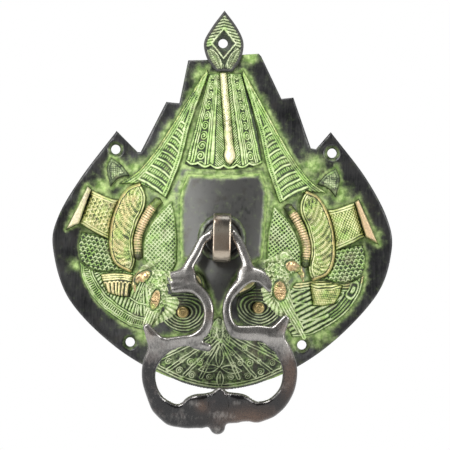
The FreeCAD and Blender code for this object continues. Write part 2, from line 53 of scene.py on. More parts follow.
# Back plate and dome, as in the CAD part.
RIM_THICK = 3.5
WALL = 3.0
DOME_CENTRE_Z = -62.0
DOME_RISE = 19.0
DOME_HALF_WIDTH = 74.0
DOME_REACH_UP = 104.0
DOME_REACH_DOWN = 64.0
MUZZLE_RISE = 9.0
MUZZLE_Z = -84.0
MUZZLE_SPREAD_X = 24.0
MUZZLE_SPREAD_Z = 20.0
PLATE_BOTTOM_Z = -126.5
RELIEF_SLOPE = 0.03
SCREW_HOLE_R = 2.5
SINK_R = 4.4
SINK_DEPTH = 1.2
HOLE_POINTS = 40
HOLE_RINGS = (3.1, 3.8, SINK_R, SINK_R + 0.35, SINK_R + 0.9)
PLATE_SCREWS = [(-57.25, 0.0), (57.25, 0.0), (-47.8, -101.75), (43.0, -101.75)]
TOP_SCREW = (-1.4, 57.0)
FINIAL_THICK = 5.0
CREST_TOP_Z = 41.6
CREST_HEIGHT = 45.6
EYES = {-1: (-20.0, -85.0), 1: (19.6, -82.0)}
EYE_SOCKET_R = 11.4
PAD_CENTRE = (-0.2, -45.9)
PAD_R = 12.7
NOSE_X = -1.3
SHANK_Z = -37.0
SHANK_R = 3.0

# Hook and bail, close to the CAD part. A point of the bail is (x, z, half width), and a point of
# its side profile is (z, y, half thickness).
HOOK_WIDTH = 9.4
HOOK_FRONT_Y = -38.6
HOOK_TOP_Z = -32.5
HOOK_BOTTOM_Z = -58.5
SLOT_R = 2.8
SLOT_TOP_Z = -38.2
HINGE_Y = -31.0
HINGE_Z = -43.7
BAR_R = 2.4
BAIL_LEFT = [
    (-5.6, -43.8, 2.4), (-10.2, -47.2, 2.4), (-13.4, -53.7, 2.6), (-17.1, -60.4, 2.7),
    (-18.4, -65.4, 3.2), (-16.2, -69.8, 3.0), (-12.4, -73.0, 2.8), (-8.8, -76.6, 2.7),
    (-6.7, -81.2, 2.7), (-6.3, -86.4, 2.6), (-7.2, -91.6, 2.7), (-10.6, -96.2, 2.9),
    (-15.6, -99.0, 2.9), (-21.0, -99.9, 2.9), (-27.0, -101.6, 3.6), (-32.2, -104.6, 4.5),
    (-35.3, -109.4, 4.2), (-37.0, -114.6, 3.7), (-37.0, -121.0, 3.5), (-34.9, -128.0, 3.6),
    (-31.0, -134.4, 4.7), (-24.8, -138.8, 5.5),
]
BAIL_RIGHT = [
    (20.0, -136.8, 5.2), (26.0, -135.0, 4.8), (31.0, -131.2, 4.4), (34.8, -125.4, 3.9),
    (36.4, -119.0, 3.8), (36.2, -112.4, 3.9), (34.0, -106.2, 4.1), (30.8, -100.8, 4.3),
    (26.4, -96.4, 4.3), (20.4, -94.8, 4.1), (13.6, -94.9, 3.9), (7.6, -94.0, 3.4),
    (4.2, -89.4, 2.6), (3.0, -82.6, 2.3), (4.4, -76.2, 2.4), (8.6, -70.6, 2.8),
    (12.4, -65.6, 3.2), (13.2, -59.4, 2.7), (10.9, -53.0, 2.5), (8.4, -47.4, 2.4),
    (5.6, -43.8, 2.4),
]
BOSS = [
    (-31.0, -134.4, 3.6), (-24.8, -138.8, 5.5), (-18.4, -139.2, 7.1), (-12.0, -137.2, 9.2),
    (-6.0, -136.0, 8.9), (-0.6, -134.8, 8.8), (6.0, -134.8, 8.3), (11.6, -135.0, 7.7),
    (16.6, -136.2, 5.9), (20.0, -136.8, 4.9), (26.0, -135.0, 3.8),
]
STUBS = {
    "scroll_end": [(-12.6, -101.4, 2.4), (-6.6, -102.8, 2.2)],
    "left_foot": [(-32.4, -102.6, 5.0), (-38.2, -92.8, 2.1)],
    "left_shoulder": [(-17.6, -65.6, 4.2), (-26.4, -66.4, 2.6)],
    "left_web": [(-20.0, -69.0, 2.8), (-25.0, -69.4, 2.2)],
    "left_claw": [(-16.4, -70.6, 3.2), (-24.6, -72.8, 2.1)],
    "right_shoulder": [(12.6, -64.0, 4.2), (20.6, -65.6, 3.6), (25.4, -71.0, 2.6)],
    "right_foot": [(27.6, -97.2, 5.0), (33.6, -87.2, 2.2)],
    "centre_bump": [(-0.2, -128.0, 3.2), (0.0, -126.4, 2.7)],
    "tongue": [(-1.0, -140.0, 4.4), (-0.8, -145.2, 4.0)],
}
BAIL_PROFILE = [
    (-40.0, -31.0, 2.4), (-47.0, -31.4, 2.4), (-58.0, -34.8, 2.8), (-70.0, -38.4, 3.2),
    (-84.0, -40.2, 3.3), (-97.0, -39.2, 3.4), (-110.0, -34.4, 3.5), (-122.0, -27.8, 3.8),
    (-134.0, -21.0, 4.4), (-151.0, -14.6, 3.8),
]
# Bail from its lower end up: how far its edges are rounded, and how much painted sheen lightens
# it, most on the upper arms, which face up.
BEVEL_BY_Z = ((-150, -114, -100, -40), (2.7, 2.5, 1.3, 1.2))
SHEEN_BY_Z = ((-150, -112, -98, -40), (0.0, 0.05, 0.75, 0.85))
# Spots on the bail, as (x, z, reach in x, reach in z, amount).
BAIL_SWELLS = [
    (0.0, -135.0, 3.4, 3.4, 1.3), (-9.6, -134.6, 5.0, 5.0, 1.8), (9.6, -134.0, 5.0, 5.0, 1.8),
    (-0.9, -142.0, 3.4, 3.4, 1.3),
]
# Painted highlights on the boss, its lobes, the tongue and the scroll's tip.
BAIL_HIGHLIGHTS = [
    (3.0, -138.4, 9.0, 2.6, 0.45), (-12.0, -132.6, 5.0, 2.0, 0.45), (10.0, -131.8, 5.0, 2.0, 0.45),
    (-1.0, -146.6, 2.0, 2.0, 0.45), (-7.4, -102.2, 3.0, 2.0, 0.45),
]
BAIL_RUST = [
    (16.0, -141.0, 14.0, 6.0, 1.0), (37.0, -116.0, 5.0, 12.0, 0.8), (-37.0, -96.0, 3.0, 3.0, 0.8),
    (33.0, -92.0, 3.0, 3.0, 0.8), (-9.0, -134.0, 3.0, 3.0, 0.8), (-6.0, -86.0, 3.0, 3.0, 0.8),
]


def closed(*runs):
    """Runs of points, each carried on to the first point of the next."""
    return [list(run) + after[:1] for run, after in zip(runs, runs[1:] + runs[:1])]


# Outlines of the plate and its ornaments, as (x, z). A run given as one point is a straight line
# to the next, and a longer one is a curve. Paired ornaments are given for the right-hand side.
RUNS = {
    "finial": closed(
        [(-0.9, 74.4), (-7.4, 65.4), (-11.5, 57.0), (-9.4, 48.2)],
        [(-4.8, 42.0)],
        [(3.8, 42.0), (8.0, 48.6), (9.4, 57.4), (5.8, 65.6)]),
    "crest": closed(
        [(-8.2, 40.8), (-14.4, 16.0)],
        [(-20.4, -7.2), (-14.4, -9.0), (-8.2, -9.6), (0.0, -9.8), (8.6, -9.2), (14.8, -8.2)],
        [(20.4, -6.2), (16.2, 16.0)],
        [(8.4, 41.2)]),
    "spine": closed(
        [(-3.0, 41.6)],
        [(0.6, 1.0), (0.2, -3.4), (3.2, -7.4), (6.2, -3.4)],
        [(5.4, 1.0)], [(0.8, 41.6)]),
    "wing": closed(
        [(9.6, 43.2), (19.0, 27.6), (28.6, 11.0), (37.4, -3.0), (46.0, -13.4)],
        [(55.0, -19.6), (44.0, -19.6), (36.0, -22.8)],
        [(30.0, -26.2), (25.6, -15.0), (22.0, -4.0), (17.6, 14.0)],
        [(9.0, 40.6)]),
    "shield": closed(
        [(-18.6, -12.6), (0.4, -13.2)],
        [(19.6, -11.4), (23.0, -22.0), (22.4, -38.0)],
        [(21.2, -56.0), (NOSE_X + 13.2, -61.4), (NOSE_X + 8.2, -67.0), (NOSE_X + 4.6, -74.6),
         (NOSE_X, -86.0), (NOSE_X - 4.6, -74.6), (NOSE_X - 8.2, -67.0), (NOSE_X - 13.2, -61.4)],
        [(-21.4, -56.4), (-22.4, -40.0), (-22.2, -24.0)]),
    "temple": closed(
        [(26.8, -27.6), (34.0, -34.6), (38.6, -42.0), (41.4, -50.0)],
        [(41.6, -58.0), (36.0, -64.0), (28.0, -66.4)],
        [(23.8, -60.0), (24.0, -44.0)]),
    "horn": closed(
        [(31.8, -28.6), (36.0, -34.2), (40.0, -41.6), (42.2, -49.0)],
        [(41.8, -58.4), (44.0, -59.6)],
        [(46.2, -58.4), (46.8, -48.6), (44.4, -39.6), (40.4, -32.0)],
        [(36.2, -26.4), (33.6, -26.2)]),
    "ear": closed(
        [(43.8, -18.6), (50.8, -22.0), (56.2, -30.6), (59.4, -42.0), (59.6, -54.0), (56.2, -62.4)],
        [(48.0, -66.6), (45.6, -60.0), (46.8, -50.0), (44.6, -39.6), (41.2, -32.0),
         (40.8, -25.0)]),
    "drum": closed(
        [(52.0, -28.6), (60.0, -27.4)],
        [(69.4, -23.8)],
        [(75.4, -41.8), (68.0, -46.0)],
        [(57.0, -51.0)]),
    "cap": closed(
        [(69.5, -23.7)], [(71.7, -21.6)], [(82.9, -45.6)], [(75.5, -41.9)]),
    "leaf": closed(
        [(59.5, -6.2), (61.6, -12.0)],
        [(59.6, -21.4), (55.4, -17.0)],
        [(49.6, -15.2), (54.0, -9.8)]),
    "collar": closed(
        [(56.0, -51.4), (66.0, -47.6)],
        [(74.4, -46.2), (75.8, -54.0)],
        [(74.4, -61.6), (66.0, -66.2)],
        [(52.0, -65.4)]),
    "lower": closed(
        [(75.4, -62.0), (73.2, -71.6), (66.6, -81.8), (58.0, -89.0), (48.0, -94.6)],
        [(38.0, -96.4), (33.6, -88.0), (34.0, -76.0)],
        [(39.0, -67.6), (52.0, -66.0), (66.0, -66.8)]),
    "basket": closed(
        [(46.6, -67.4), (55.0, -66.8)],
        [(63.8, -68.0), (62.4, -73.0)],
        [(59.8, -77.6), (54.0, -79.0)],
        [(48.4, -79.2)]),
    "brow": closed(
        [(7.4, -76.6), (9.6, -70.4), (14.2, -66.4)],
        [(19.8, -66.2), (16.4, -71.6)]),
    "brow_lens": closed(
        [(-15.6, -62.8), (-10.8, -65.8)],
        [(-8.2, -72.6), (-13.0, -69.4)]),
    "snout": closed(
        [(-1.3, -87.0), (-10.0, -94.0), (-21.0, -98.2)],
        [(-31.6, -99.0), (-35.6, -107.0)],
        [(-34.0, -115.6), (-18.0, -122.6), (0.0, PLATE_BOTTOM_Z + 1.0), (18.0, -122.6)],
        [(34.0, -115.6), (35.0, -107.0)],
        [(31.0, -99.0), (20.0, -96.4), (9.0, -92.6)]),
    "cavity": closed(
        [(0, 24), (20, 6), (38, -14), (58, -34), (64, -58), (56, -84), (32, -103), (0, -112),
         (-32, -103), (-56, -84), (-64, -58), (-58, -34), (-38, -14), (-20, 6)]),
    "plate": closed(
        [(-56.9, 9.8), (-75.5, -15.5), (-87.2, -36.5), (-89.5, -53.0), (-80.7, -79.4),
         (-57.0, -103.4), (-30.0, -118.8)],
        [(0.0, PLATE_BOTTOM_Z), (30.0, -118.8), (57.5, -101.6), (82.0, -75.0), (89.6, -52.0),
         (87.4, -35.0), (75.5, -13.0)],
        [(56.4, 11.2)], [(48.7, 2.0)], [(46.0, 2.4)], [(36.3, 29.1)], [(30.0, 28.3)],
        [(18.9, 50.6)], [(17.6, 52.0)], [(8.0, 51.2)], [(-8.0, 48.3)], [(-19.7, 47.8)],
        [(-24.0, 25.0)], [(-30.9, 25.6)], [(-44.0, -1.2)], [(-45.6, -1.2)]),
}
ON_AXIS = ("crest", "snout", "shield")
IN_PAIRS = ("wing", "temple", "ear", "drum", "cap", "leaf", "collar", "lower")
# Places where the patina spreads over the plate, as (x, z, reach).
PATINA_SPOTS = [
    (-13.0, 40.0, 5.0), (13.0, 49.5, 4.5), (47.0, -7.0, 6.5), (62.0, -22.0, 6.0),
    (-46.0, -11.0, 6.0), (-64.0, -20.0, 5.0), (-77.0, -62.0, 3.5), (80.0, -44.0, 4.5),
    (52.0, -95.0, 7.0), (-41.0, -98.0, 4.5), (31.0, -27.0, 7.0), (-31.0, -27.0, 7.0),
    (40.0, -100.0, 4.5),
]

# Parrots: rows of round sections (x, z, radius), and ovals as centre, half size and tilt in degrees.
PARROTS = {
    "parrot_left": {
        "body": [(-40.4, -64.8, 3.0), (-38.6, -66.8, 3.7), (-34.6, -68.6, 4.3),
                 (-32.6, -73.2, 5.0), (-33.6, -79.2, 4.6), (-36.0, -85.4, 3.3),
                 (-38.4, -91.4, 2.0)],
        "beak": [(-41.4, -65.6, 2.7), (-44.0, -67.8, 2.0), (-45.4, -71.0, 1.2),
                 (-44.9, -74.2, 0.5)],
        "crest": [(-41.4, -62.0, 0.6), (-37.0, -60.6, 1.6), (-32.4, -57.4, 0.5)],
        "fan": [(-30.6, -76.6, 2.2), (-25.0, -79.8, 2.9), (-26.4, -84.6, 2.5),
                (-33.4, -90.0, 1.4)],
        "shoulder": [(-34.0, -65.6, 2.6), (-28.4, -66.6, 3.0), (-25.0, -69.0, 2.8)],
        "head": ((-40.9, -66.8), (4.2, 2.3), 37.0), "wing": ((-34.2, -78.4), (2.2, 4.9), -14.0),
    },
    "parrot_right": {
        "body": [(32.4, -54.6, 2.8), (34.0, -58.4, 3.8), (30.6, -63.4, 4.1),
                 (30.2, -71.6, 5.1), (32.8, -78.4, 4.0), (36.2, -84.6, 2.6),
                 (40.2, -90.8, 2.0), (43.4, -96.8, 1.0)],
        "beak": [(36.4, -59.2, 2.7), (39.8, -61.2, 2.0), (41.8, -64.0, 1.3),
                 (42.4, -67.4, 0.5)],
        "crest": [(34.4, -52.6, 1.2), (28.4, -56.4, 1.6), (22.0, -57.8, 0.5)],
        "fan": [(27.4, -68.4, 1.8), (23.4, -72.2, 2.4), (24.4, -77.4, 2.2),
                (30.6, -84.4, 1.4)],
        "shoulder": [(28.0, -60.6, 2.4), (24.6, -63.6, 2.6), (23.6, -68.0, 2.4)],
        "head": ((36.8, -60.0), (3.5, 2.7), -24.0), "wing": ((30.4, -72.6), (3.1, 4.8), 6.0),
    },
}

# Studio and camera, in metres, watts and degrees. Each light is (place, size, power).
LIGHTS = {
    "key": ((-0.55, -0.7, 0.55), 0.45, 8.0),
    "left": ((-0.95, -0.35, 0.0), 0.6, 3.6),
    "right": ((0.9, -0.55, 0.15), 0.6, 6.5),
    "top": ((0.1, -0.3, 0.9), 0.5, 4.0),
    "back": ((0.1, 0.9, 0.4), 0.8, 4.0),
}
LIGHT_AIM = (0.0, -0.02, -0.06)
FRONT_DIM = 0.16
BACK_BRIGHT = 0.7
FLOOR_Z = -0.32
FLOOR_HALF = 1.0
SENSOR_WIDTH_MM = 36.0
CAMERA_FAR = 2.0
VIEW_WIDTH = 0.2385
VIEW_CENTRE = (0.0013, -0.039)
CAMERA_ROLL = 1.0


# Lines and outlines in the XZ plane.

def smooth(points, step=1.0):
    """Points about a step apart on a smooth curve through those given."""
    points = np.array(points, float)
    if len(points) == 2:
        length = np.hypot(*(points[1] - points[0])[:2])
        share = np.linspace(0, 1, max(2, int(length / step) + 1))
        return points[0] + share[:, None] * (points[1] - points[0])
    ends = np.vstack([2 * points[0] - points[1], points, 2 * points[-1] - points[-2]])
    curve = []
    for a, b, c, d in zip(ends, ends[1:], ends[2:], ends[3:]):
        count = max(2, int(np.hypot(*(c - b)[:2]) / step))
        t = (np.arange(count) / count)[:, None]
        curve.append(0.5 * (2 * b + (c - a) * t + (2 * a - 5 * b + 4 * c - d) * t ** 2
                            + (3 * b - a - 3 * c + d) * t ** 3))
    return np.vstack(curve + [points[-1:]])


class Path:
    """A line of (x, z) points, which may have a half width as a third number."""

    def __init__(self, points):
        self.points = np.asarray(points, np.float32)
        self.run = np.diff(self.points, axis=0)
        self.length = np.maximum(np.hypot(self.run[:, 0], self.run[:, 1]), 1e-6)
        self.along = np.concatenate([[0], np.cumsum(self.length)[:-1]])

    def near(self, x, z):
        """Distance to the line, length along it, and half width, at the nearest place."""
        shape = np.shape(x)
        x, z = np.ravel(x).astype(np.float32), np.ravel(z).astype(np.float32)
        gap, along, half = np.empty_like(x), np.empty_like(x), np.zeros_like(x)
        for part in np.array_split(np.arange(x.size), x.size // 20000 + 1):
            gap_x = x[part, None] - self.points[:-1, 0]
            gap_z = z[part, None] - self.points[:-1, 1]
            share = (gap_x * self.run[:, 0] + gap_z * self.run[:, 1]) / self.length ** 2
            share = np.clip(share, 0, 1)
            square = (gap_x - share * self.run[:, 0]) ** 2 + (gap_z - share * self.run[:, 1]) ** 2
            best = square.argmin(1)
            row = np.arange(part.size)
            gap[part] = np.sqrt(square[row, best])
            along[part] = self.along[best] + share[row, best] * self.length[best]
            if self.points.shape[1] > 2:
                half[part] = self.points[best, 2] + share[row, best] * self.run[best, 2]
        return gap.reshape(shape), along.reshape(shape), half.reshape(shape)


class Outline(Path):
    """A closed outline, less the others given."""

    def __init__(self, runs, cuts=()):
        super().__init__(np.vstack([smooth(run)[:-1] for run in runs] + [runs[0][:1]]))
        self.cuts = cuts
        self.low, self.high = self.points.min(0), self.points.max(0)

    def depth(self, x, z):
        """Distance inside the outline, and below zero outside it."""
        x, z = np.asarray(x, np.float32), np.asarray(z, np.float32)
        gap = self.near(x, z)[0]
        x0, z0 = self.points[:-1, 0], self.points[:-1, 1]
        x1, z1 = self.points[1:, 0], self.points[1:, 1]
        inside = np.zeros(x.shape, bool)
        for i in range(len(x0)):
            if z0[i] != z1[i]:
                spans = (z0[i] > z) != (z1[i] > z)
                inside ^= spans & (x < (x1[i] - x0[i]) * (z - z0[i]) / (z1[i] - z0[i]) + x0[i])
        depth = np.where(inside, gap, -gap)
        for cut in self.cuts:
            if (cut.low < self.high).all() and (cut.high > self.low).all():
                depth = np.minimum(depth, -cut.depth(x, z))
        return depth


class Disc:
    """A round outline, less the others given."""

    def __init__(self, centre, radius, cuts=()):
        self.centre, self.radius, self.cuts = np.array(centre), radius, cuts
        self.low, self.high = self.centre - radius, self.centre + radius

    def depth(self, x, z):
        depth = self.radius - np.hypot(x - self.centre[0], z - self.centre[1])
        for cut in self.cuts:
            depth = np.minimum(depth, -cut.depth(x, z))
        return depth


def sided(side, run):
    """Places on one side, from those given for the right-hand side, which droop as x grows."""
    return [(side * x, z - RELIEF_SLOPE * side * x) for x, z in run]


def sided_back(side, point):
    """The right-hand place that a point of one side has in a pattern."""
    return side * point[0], point[1] + RELIEF_SLOPE * point[0]


def outline(name, side=0, cuts=()):
    """Outline of the plate or an ornament on the axis, or of one on a side: -1 left, 1 right."""
    runs = RUNS[name]
    if side:
        runs = [sided(side, run) for run in runs]
    return Outline(runs, cuts)


def border(name, run, step=1):
    """One run of an outline, backwards with step -1."""
    return Path(smooth(RUNS[name][run][::step]))


def dome_height(x, z):
    """Height of the plate's front above the door."""
    rise_z = z - DOME_CENTRE_Z
    reach = np.where(rise_z > 0, DOME_REACH_UP, DOME_REACH_DOWN)
    ratio = np.minimum(1.0, np.hypot(x / DOME_HALF_WIDTH, rise_z / reach))
    swell = DOME_RISE * (0.5 + 0.5 * np.cos(np.pi * ratio))
    spread = (x / MUZZLE_SPREAD_X) ** 2 + ((z - MUZZLE_Z) / MUZZLE_SPREAD_Z) ** 2
    return RIM_THICK + swell + MUZZLE_RISE * np.exp(-0.5 * spread)


# Relief motifs. Each gives 1 on a raised line and 0 in the ground between.

def ramp(value, low, high):
    """0 at low and 1 at high, with a smooth step between."""
    share = np.clip((value - low) / (high - low), 0, 1)
    return share * share * (3 - 2 * share)


def bead(offset):
    """Round-topped section: 1 at offset 0, down to 0 at offset 1."""
    return np.sqrt(np.clip(1 - offset ** 2, 0, 1))


def lumps(x, z, size, seed):
    """Smooth unevenness from -1 to 1, the same on each run."""
    count = 64
    table = np.random.default_rng(seed).uniform(-1, 1, (count, count))
    u, v = np.asarray(x) / size + 100.0, np.asarray(z) / size + 100.0
    i, j = np.floor(u).astype(int), np.floor(v).astype(int)
    share_u, share_v = ramp(u - i, 0.0, 1.0), ramp(v - j, 0.0, 1.0)
    i, j, after_i, after_j = i % count, j % count, (i + 1) % count, (j + 1) % count
    low = table[i, j] * (1 - share_u) + table[after_i, j] * share_u
    high = table[i, after_j] * (1 - share_u) + table[after_i, after_j] * share_u
    return low * (1 - share_v) + high * share_v


def spots(x, z, places):
    """Sum of soft round spots, each (x, z, reach in x, reach in z, amount)."""
    total = 0.0
    for at_x, at_z, reach_x, reach_z, amount in places:
        total = total + amount * np.exp(-((x - at_x) / reach_x) ** 2 - ((z - at_z) / reach_z) ** 2)
    return total


def ridge(distance, at, half):
    """Raised line at a distance, given its half width."""
    return bead((distance - at) / half)


def ridges(distance, half, *places):
    """Raised lines of one half width at several distances."""
    return np.maximum.reduce([ridge(distance, at, half) for at in places])


def ribs(value, pitch, share=0.72):
    """Parallel ribs that take up a share of their pitch."""
    return bead(((value / pitch) % 1.0 - 0.5) * 2.0 / share)


def dots(x, z, pitch):
    """Grains in a square grid."""
    return np.sqrt(np.abs(np.sin(np.pi * x / pitch) * np.sin(np.pi * z / pitch)))


def scales(x, z, width, height):
    """Rows of round-topped scales, each row shifted by half a scale."""
    row = np.floor(z / height)
    across = ((x / width + 0.5 * (row % 2)) % 1.0 - 0.5) * 2.0
    up = z / height - row
    radius = np.hypot(across, up * 1.15)
    return np.maximum(ridge(radius, 0.78, 0.26), 0.45 * bead(radius / 0.5))


def curl(across, along, hand, turns=1.9):
    """Spiral that fills the unit circle."""
    radius = np.hypot(across, along)
    angle = np.arctan2(along, across * hand) / (2 * np.pi)
    line = ribs(radius * turns - angle, 1.0, 0.7)
    return np.where(radius < 1.0, line, 0.0)


def lens(x, z, centre, angle, half_length, half_width, line=0.36):
    """Raised rim of a pointed oval with a raised vein along it."""
    turn = math.radians(angle)
    gap_x, gap_z = x - centre[0], z - centre[1]
    along = (gap_x * math.cos(turn) + gap_z * math.sin(turn)) / half_length
    across = np.abs(gap_z * math.cos(turn) - gap_x * math.sin(turn))
    rim = half_width * (1 - along ** 2)
    drawn = np.maximum(ridge(across, rim, line), 0.8 * ridge(across, 0, line * 0.8) * (rim > 1.0))
    return np.where(np.abs(along) < 1.05, drawn, 0.0)


def strap(x, z, points, half=0.36, gap=1.5):
    """Two raised lines that run side by side."""
    distance = Path(smooth(points)).near(x, z)[0]
    return ridge(distance, gap / 2, half)


# Patterns. Each takes points on the right-hand side, their depth inside the outline and the
# side, and returns how raised the surface is (1 on top, 0 in the ground) and how brassy.

def plain(x, z, depth, side):
    return np.ones_like(x), 0.0


def ringed(x, z, depth, side):
    """Smooth disc with one groove near its edge."""
    return 1 - 0.9 * ridge(depth, 3.4, 0.7), 0.0


def polished(x, z, depth, side):
    """Bare metal on top, with its edges left dark."""
    return ramp(depth, 0.1, 0.7), 1.0


def crest_axis(z):
    """How far down the crest a place is, and where the crest's middle is there."""
    down = (CREST_TOP_Z - z) / CREST_HEIGHT
    return down, -1.1 + 4.3 * down


def crest_pattern(x, z, depth, side):
    down, axis = crest_axis(z)
    reach = np.where(x > axis, 9.5 + 7.2 * down, 7.1 + 15.9 * down)
    share = np.abs(x - axis) / reach
    barbs = ribs(z - 1.1 * np.abs(x - axis), 1.35) * (share < 0.33)
    lines = np.maximum.reduce([
        ridge(share, 0.405, 0.05), ridge(share, 0.49, 0.025), ridges(share, 0.022, 0.55, 0.81),
        ridge(share, 0.87, 0.026), ridge(share, 0.945, 0.035) * (0.6 + 0.4 * ribs(z, 1.1)),
    ])
    pitch = 5.3
    row = np.floor(z / pitch)
    hand = 1 - 2 * (row % 2)
    scroll = curl((share - 0.68) / 0.115, (z / pitch - row - 0.5) * 2.1, hand)
    raised = np.maximum.reduce([barbs, lines, 0.9 * scroll])
    hem = -7.6 + 2.9 * (x / 20.4) ** 2 - 1.5 * np.abs(np.sin(np.pi * (x + 20.4) / 6.8))
    raised = np.where(z < hem + 1.0, ridge(z - hem, 0, 0.7), raised)
    raised = np.where(z < hem - 0.6, -0.9, raised)
    return raised, 0.1


def spine_pattern(x, z, depth, side):
    off = np.abs(x - crest_axis(z)[1])
    crown = ridge(off, 0, 0.9)
    barbs = 0.3 + 0.55 * ribs(z - 1.1 * off, 1.3)
    speckled = 0.65 + 0.5 * lumps(x, z, 0.8, 22)
    bulb = z < 0.5
    raised = np.where(bulb, 0.95 - 0.2 * dots(x, z, 1.5), np.maximum(barbs, crown * speckled))
    return raised, np.where(bulb, 1.0, 0.2 + 0.8 * crown * speckled)


WING_OUTER, WING_INNER = border("wing", 0), border("wing", 2, -1)


def wing_pattern(x, z, depth, side):
    outer, along_outer, _ = WING_OUTER.near(x, z)
    inner, along_inner, _ = WING_INNER.near(x, z)
    width = outer + inner + 1e-3
    share = outer / width
    along = (1 - share) * along_outer + share * along_inner
    stitched = 0.65 + 0.35 * ribs(along, 1.0)
    rails = np.maximum.reduce([
        ridge(outer, 0.6, 0.6) * stitched * (0.6 if side < 0 else 1.0),
        0.7 * ridges(outer, 0.5, 1.8, 2.9), 0.85 * ridges(inner, 0.5, 0.6, 2.3),
        0.65 * ribs(along, 1.05) * (np.abs(inner - 1.45) < 0.45),
    ])
    arch = along + 12.0 * share * (1 - share)
    cell = (arch / 4.6) % 1.0
    rung = bead((cell - 0.18) / 0.13)
    teeth = 0.75 * bead((cell - 0.64) / 0.26) * (0.3 + 0.7 * ribs(share * width, 1.15, 0.7))
    fan = 0.75 * ribs(share, 0.2, 0.6) - 0.1
    middle = np.where(along > 29.5, np.maximum(rung, teeth), fan)
    middle *= (outer > 3.3) & (inner > 2.7)
    rail_brass = 0.4 if side < 0 else 0.25
    return np.maximum(rails, middle), np.where(outer < 1.2, rail_brass, 0.05)


def temple_pattern(x, z, depth, side):
    one = 0.77 * x + 0.64 * z
    other = 0.77 * z - 0.64 * x
    net = np.maximum(ribs(one, 1.6, 0.46), ribs(other, 1.6, 0.46))
    ground = 0.3 if side < 0 else -0.1
    return np.where(depth < 0.6, 0.8, np.maximum(net, ground)), 0.0


HORN_LINE = Path(smooth([(33.8, -27.2), (38.2, -33.4), (42.2, -41.0), (44.4, -49.0),
                         (44.0, -58.6)]))


def horn_pattern(x, z, depth, side):
    along = HORN_LINE.near(x, z)[1]
    tip = ramp(along, 5.5, 4.5)
    raised = np.where(tip > 0.5, 0.25, ribs(along, 1.35, 0.85))
    return raised * ramp(along, 33.0, 27.0), 0.75 - 0.75 * tip


EAR_OUTER, EAR_INNER = border("ear", 0), border("ear", 1, -1)


def ear_pattern(x, z, depth, side):
    outer, along, _ = EAR_OUTER.near(x, z)
    inner, _, _ = EAR_INNER.near(x, z)
    bent = (along - 1.8 * outer + 0.06 * outer ** 2) % 4.0 - 2.0
    vein = ridges(bent, 0.42, 0.5, -0.5)
    fine = 0.6 * ribs(along + 1.1 * outer, 1.5, 0.75) * (np.abs(bent) > 1.0)
    raised = np.maximum(0.15 + 0.85 * vein, fine)
    hem = np.maximum(ridge(inner, 0.8, 0.5), ridge(inner, 2.1, 0.4))
    raised = np.where(inner < 2.6, hem, raised)
    edge = 0.55 + 0.45 * ribs(along + outer, 1.0)
    raised = np.where(outer < 2.0, 0.0, raised)
    raised = np.where(outer < 1.5, edge, raised)
    golden = 0.45 if side < 0 else 0.2
    return raised, np.where(outer < 1.6, 0.7, golden * ramp(inner, 2.0, 6.0))


DRUM_TOP, DRUM_BOTTOM = border("drum", 0), border("drum", 2)


def drum_pattern(x, z, depth, side):
    along = 0.93 * x + 0.36 * z
    across = 0.93 * z - 0.36 * x
    if side < 0:
        body = scales(across, -along, 2.4, 1.9) * 0.75 + 0.25
    else:
        body = 0.5 * ribs(along + 0.7 * across, 1.4) + 0.5 * ribs(along - 0.9 * across, 1.7)
    top, bottom = DRUM_TOP.near(x, z)[0], DRUM_BOTTOM.near(x, z)[0]
    edge = np.minimum(top, bottom)
    rim = np.maximum(ridge(edge, 0.9, 0.6), ridge(edge, 2.2, 0.5))
    return np.where(edge < 2.8, rim, body), 0.32 if side < 0 else 0.12


def leaf_pattern(x, z, depth, side):
    """Smooth dark border round a granulated field."""
    edge = 0.45 * ridge(depth, 0.9, 0.9)
    return np.where(depth < 1.8, edge, 0.3 + 0.55 * dots(x, z, 1.1)), 0.0


def collar_pattern(x, z, depth, side):
    return scales(x + 0.2 * z, z - 0.15 * x, 2.5, 2.0), 0.1


LOWER_OUTER, LOWER_TOP = border("lower", 0), border("lower", 2)


def lower_left_pattern(outer, along):
    """Ribbed band between rails, with a feathered field inside."""
    band = 0.9 * ribs(along, 1.25, 0.75) * (np.abs(outer - 3.1) < 1.15)
    rails = ridges(outer, 0.5, 0.6, 1.6, 4.8, 6.0)
    seam = 13.2
    leaf = ribs(along + 0.25 * outer, 2.3, 0.8) * (outer > 7.0) * (np.abs(outer - seam) > 0.7)
    return np.maximum.reduce([band, rails, leaf, ridge(outer, seam, 0.5)]), 0.05


def lower_pattern(x, z, depth, side):
    """On the right: arcs over stripes, and a strap with its clasp along the outer edge."""
    outer, along, _ = LOWER_OUTER.near(x, z)
    if side < 0:
        return lower_left_pattern(outer, along)
    top = LOWER_TOP.near(x, z)[0]
    arcs = ridges(top, 0.55, 0.8, 2.2, 3.7)
    stripe = ribs(0.87 * z - 0.5 * x, 2.5, 0.7)
    cross = ridge(np.hypot(x - 44.0, z + 66.0) % 8.5, 4.2, 0.5)
    raised = np.where(top < 4.4, arcs, np.maximum(stripe, cross))
    in_strap = (outer > 1.4) & (outer < 6.6) & (along < 31.0)
    clasp = (((outer - 4.0) / 2.6) ** 4 + ((along - 10.0) / 6.5) ** 4) ** 0.25
    clasp_top = np.maximum(ridge(clasp, 0.82, 0.16), 0.8 * ridge(clasp, 0.2, 0.18))
    strap_top = 0.65 * ridges(outer, 0.5, 2.2, 3.7, 5.2)
    raised = np.where(in_strap, np.where(clasp < 1.0, clasp_top, strap_top), raised)
    raised = np.where(outer < 1.4, ridge(outer, 0.6, 0.5), raised)
    return raised, np.where((top < 3.0) & ~in_strap, 0.45, 0.1)


BASKET_TOP = border("basket", 0)


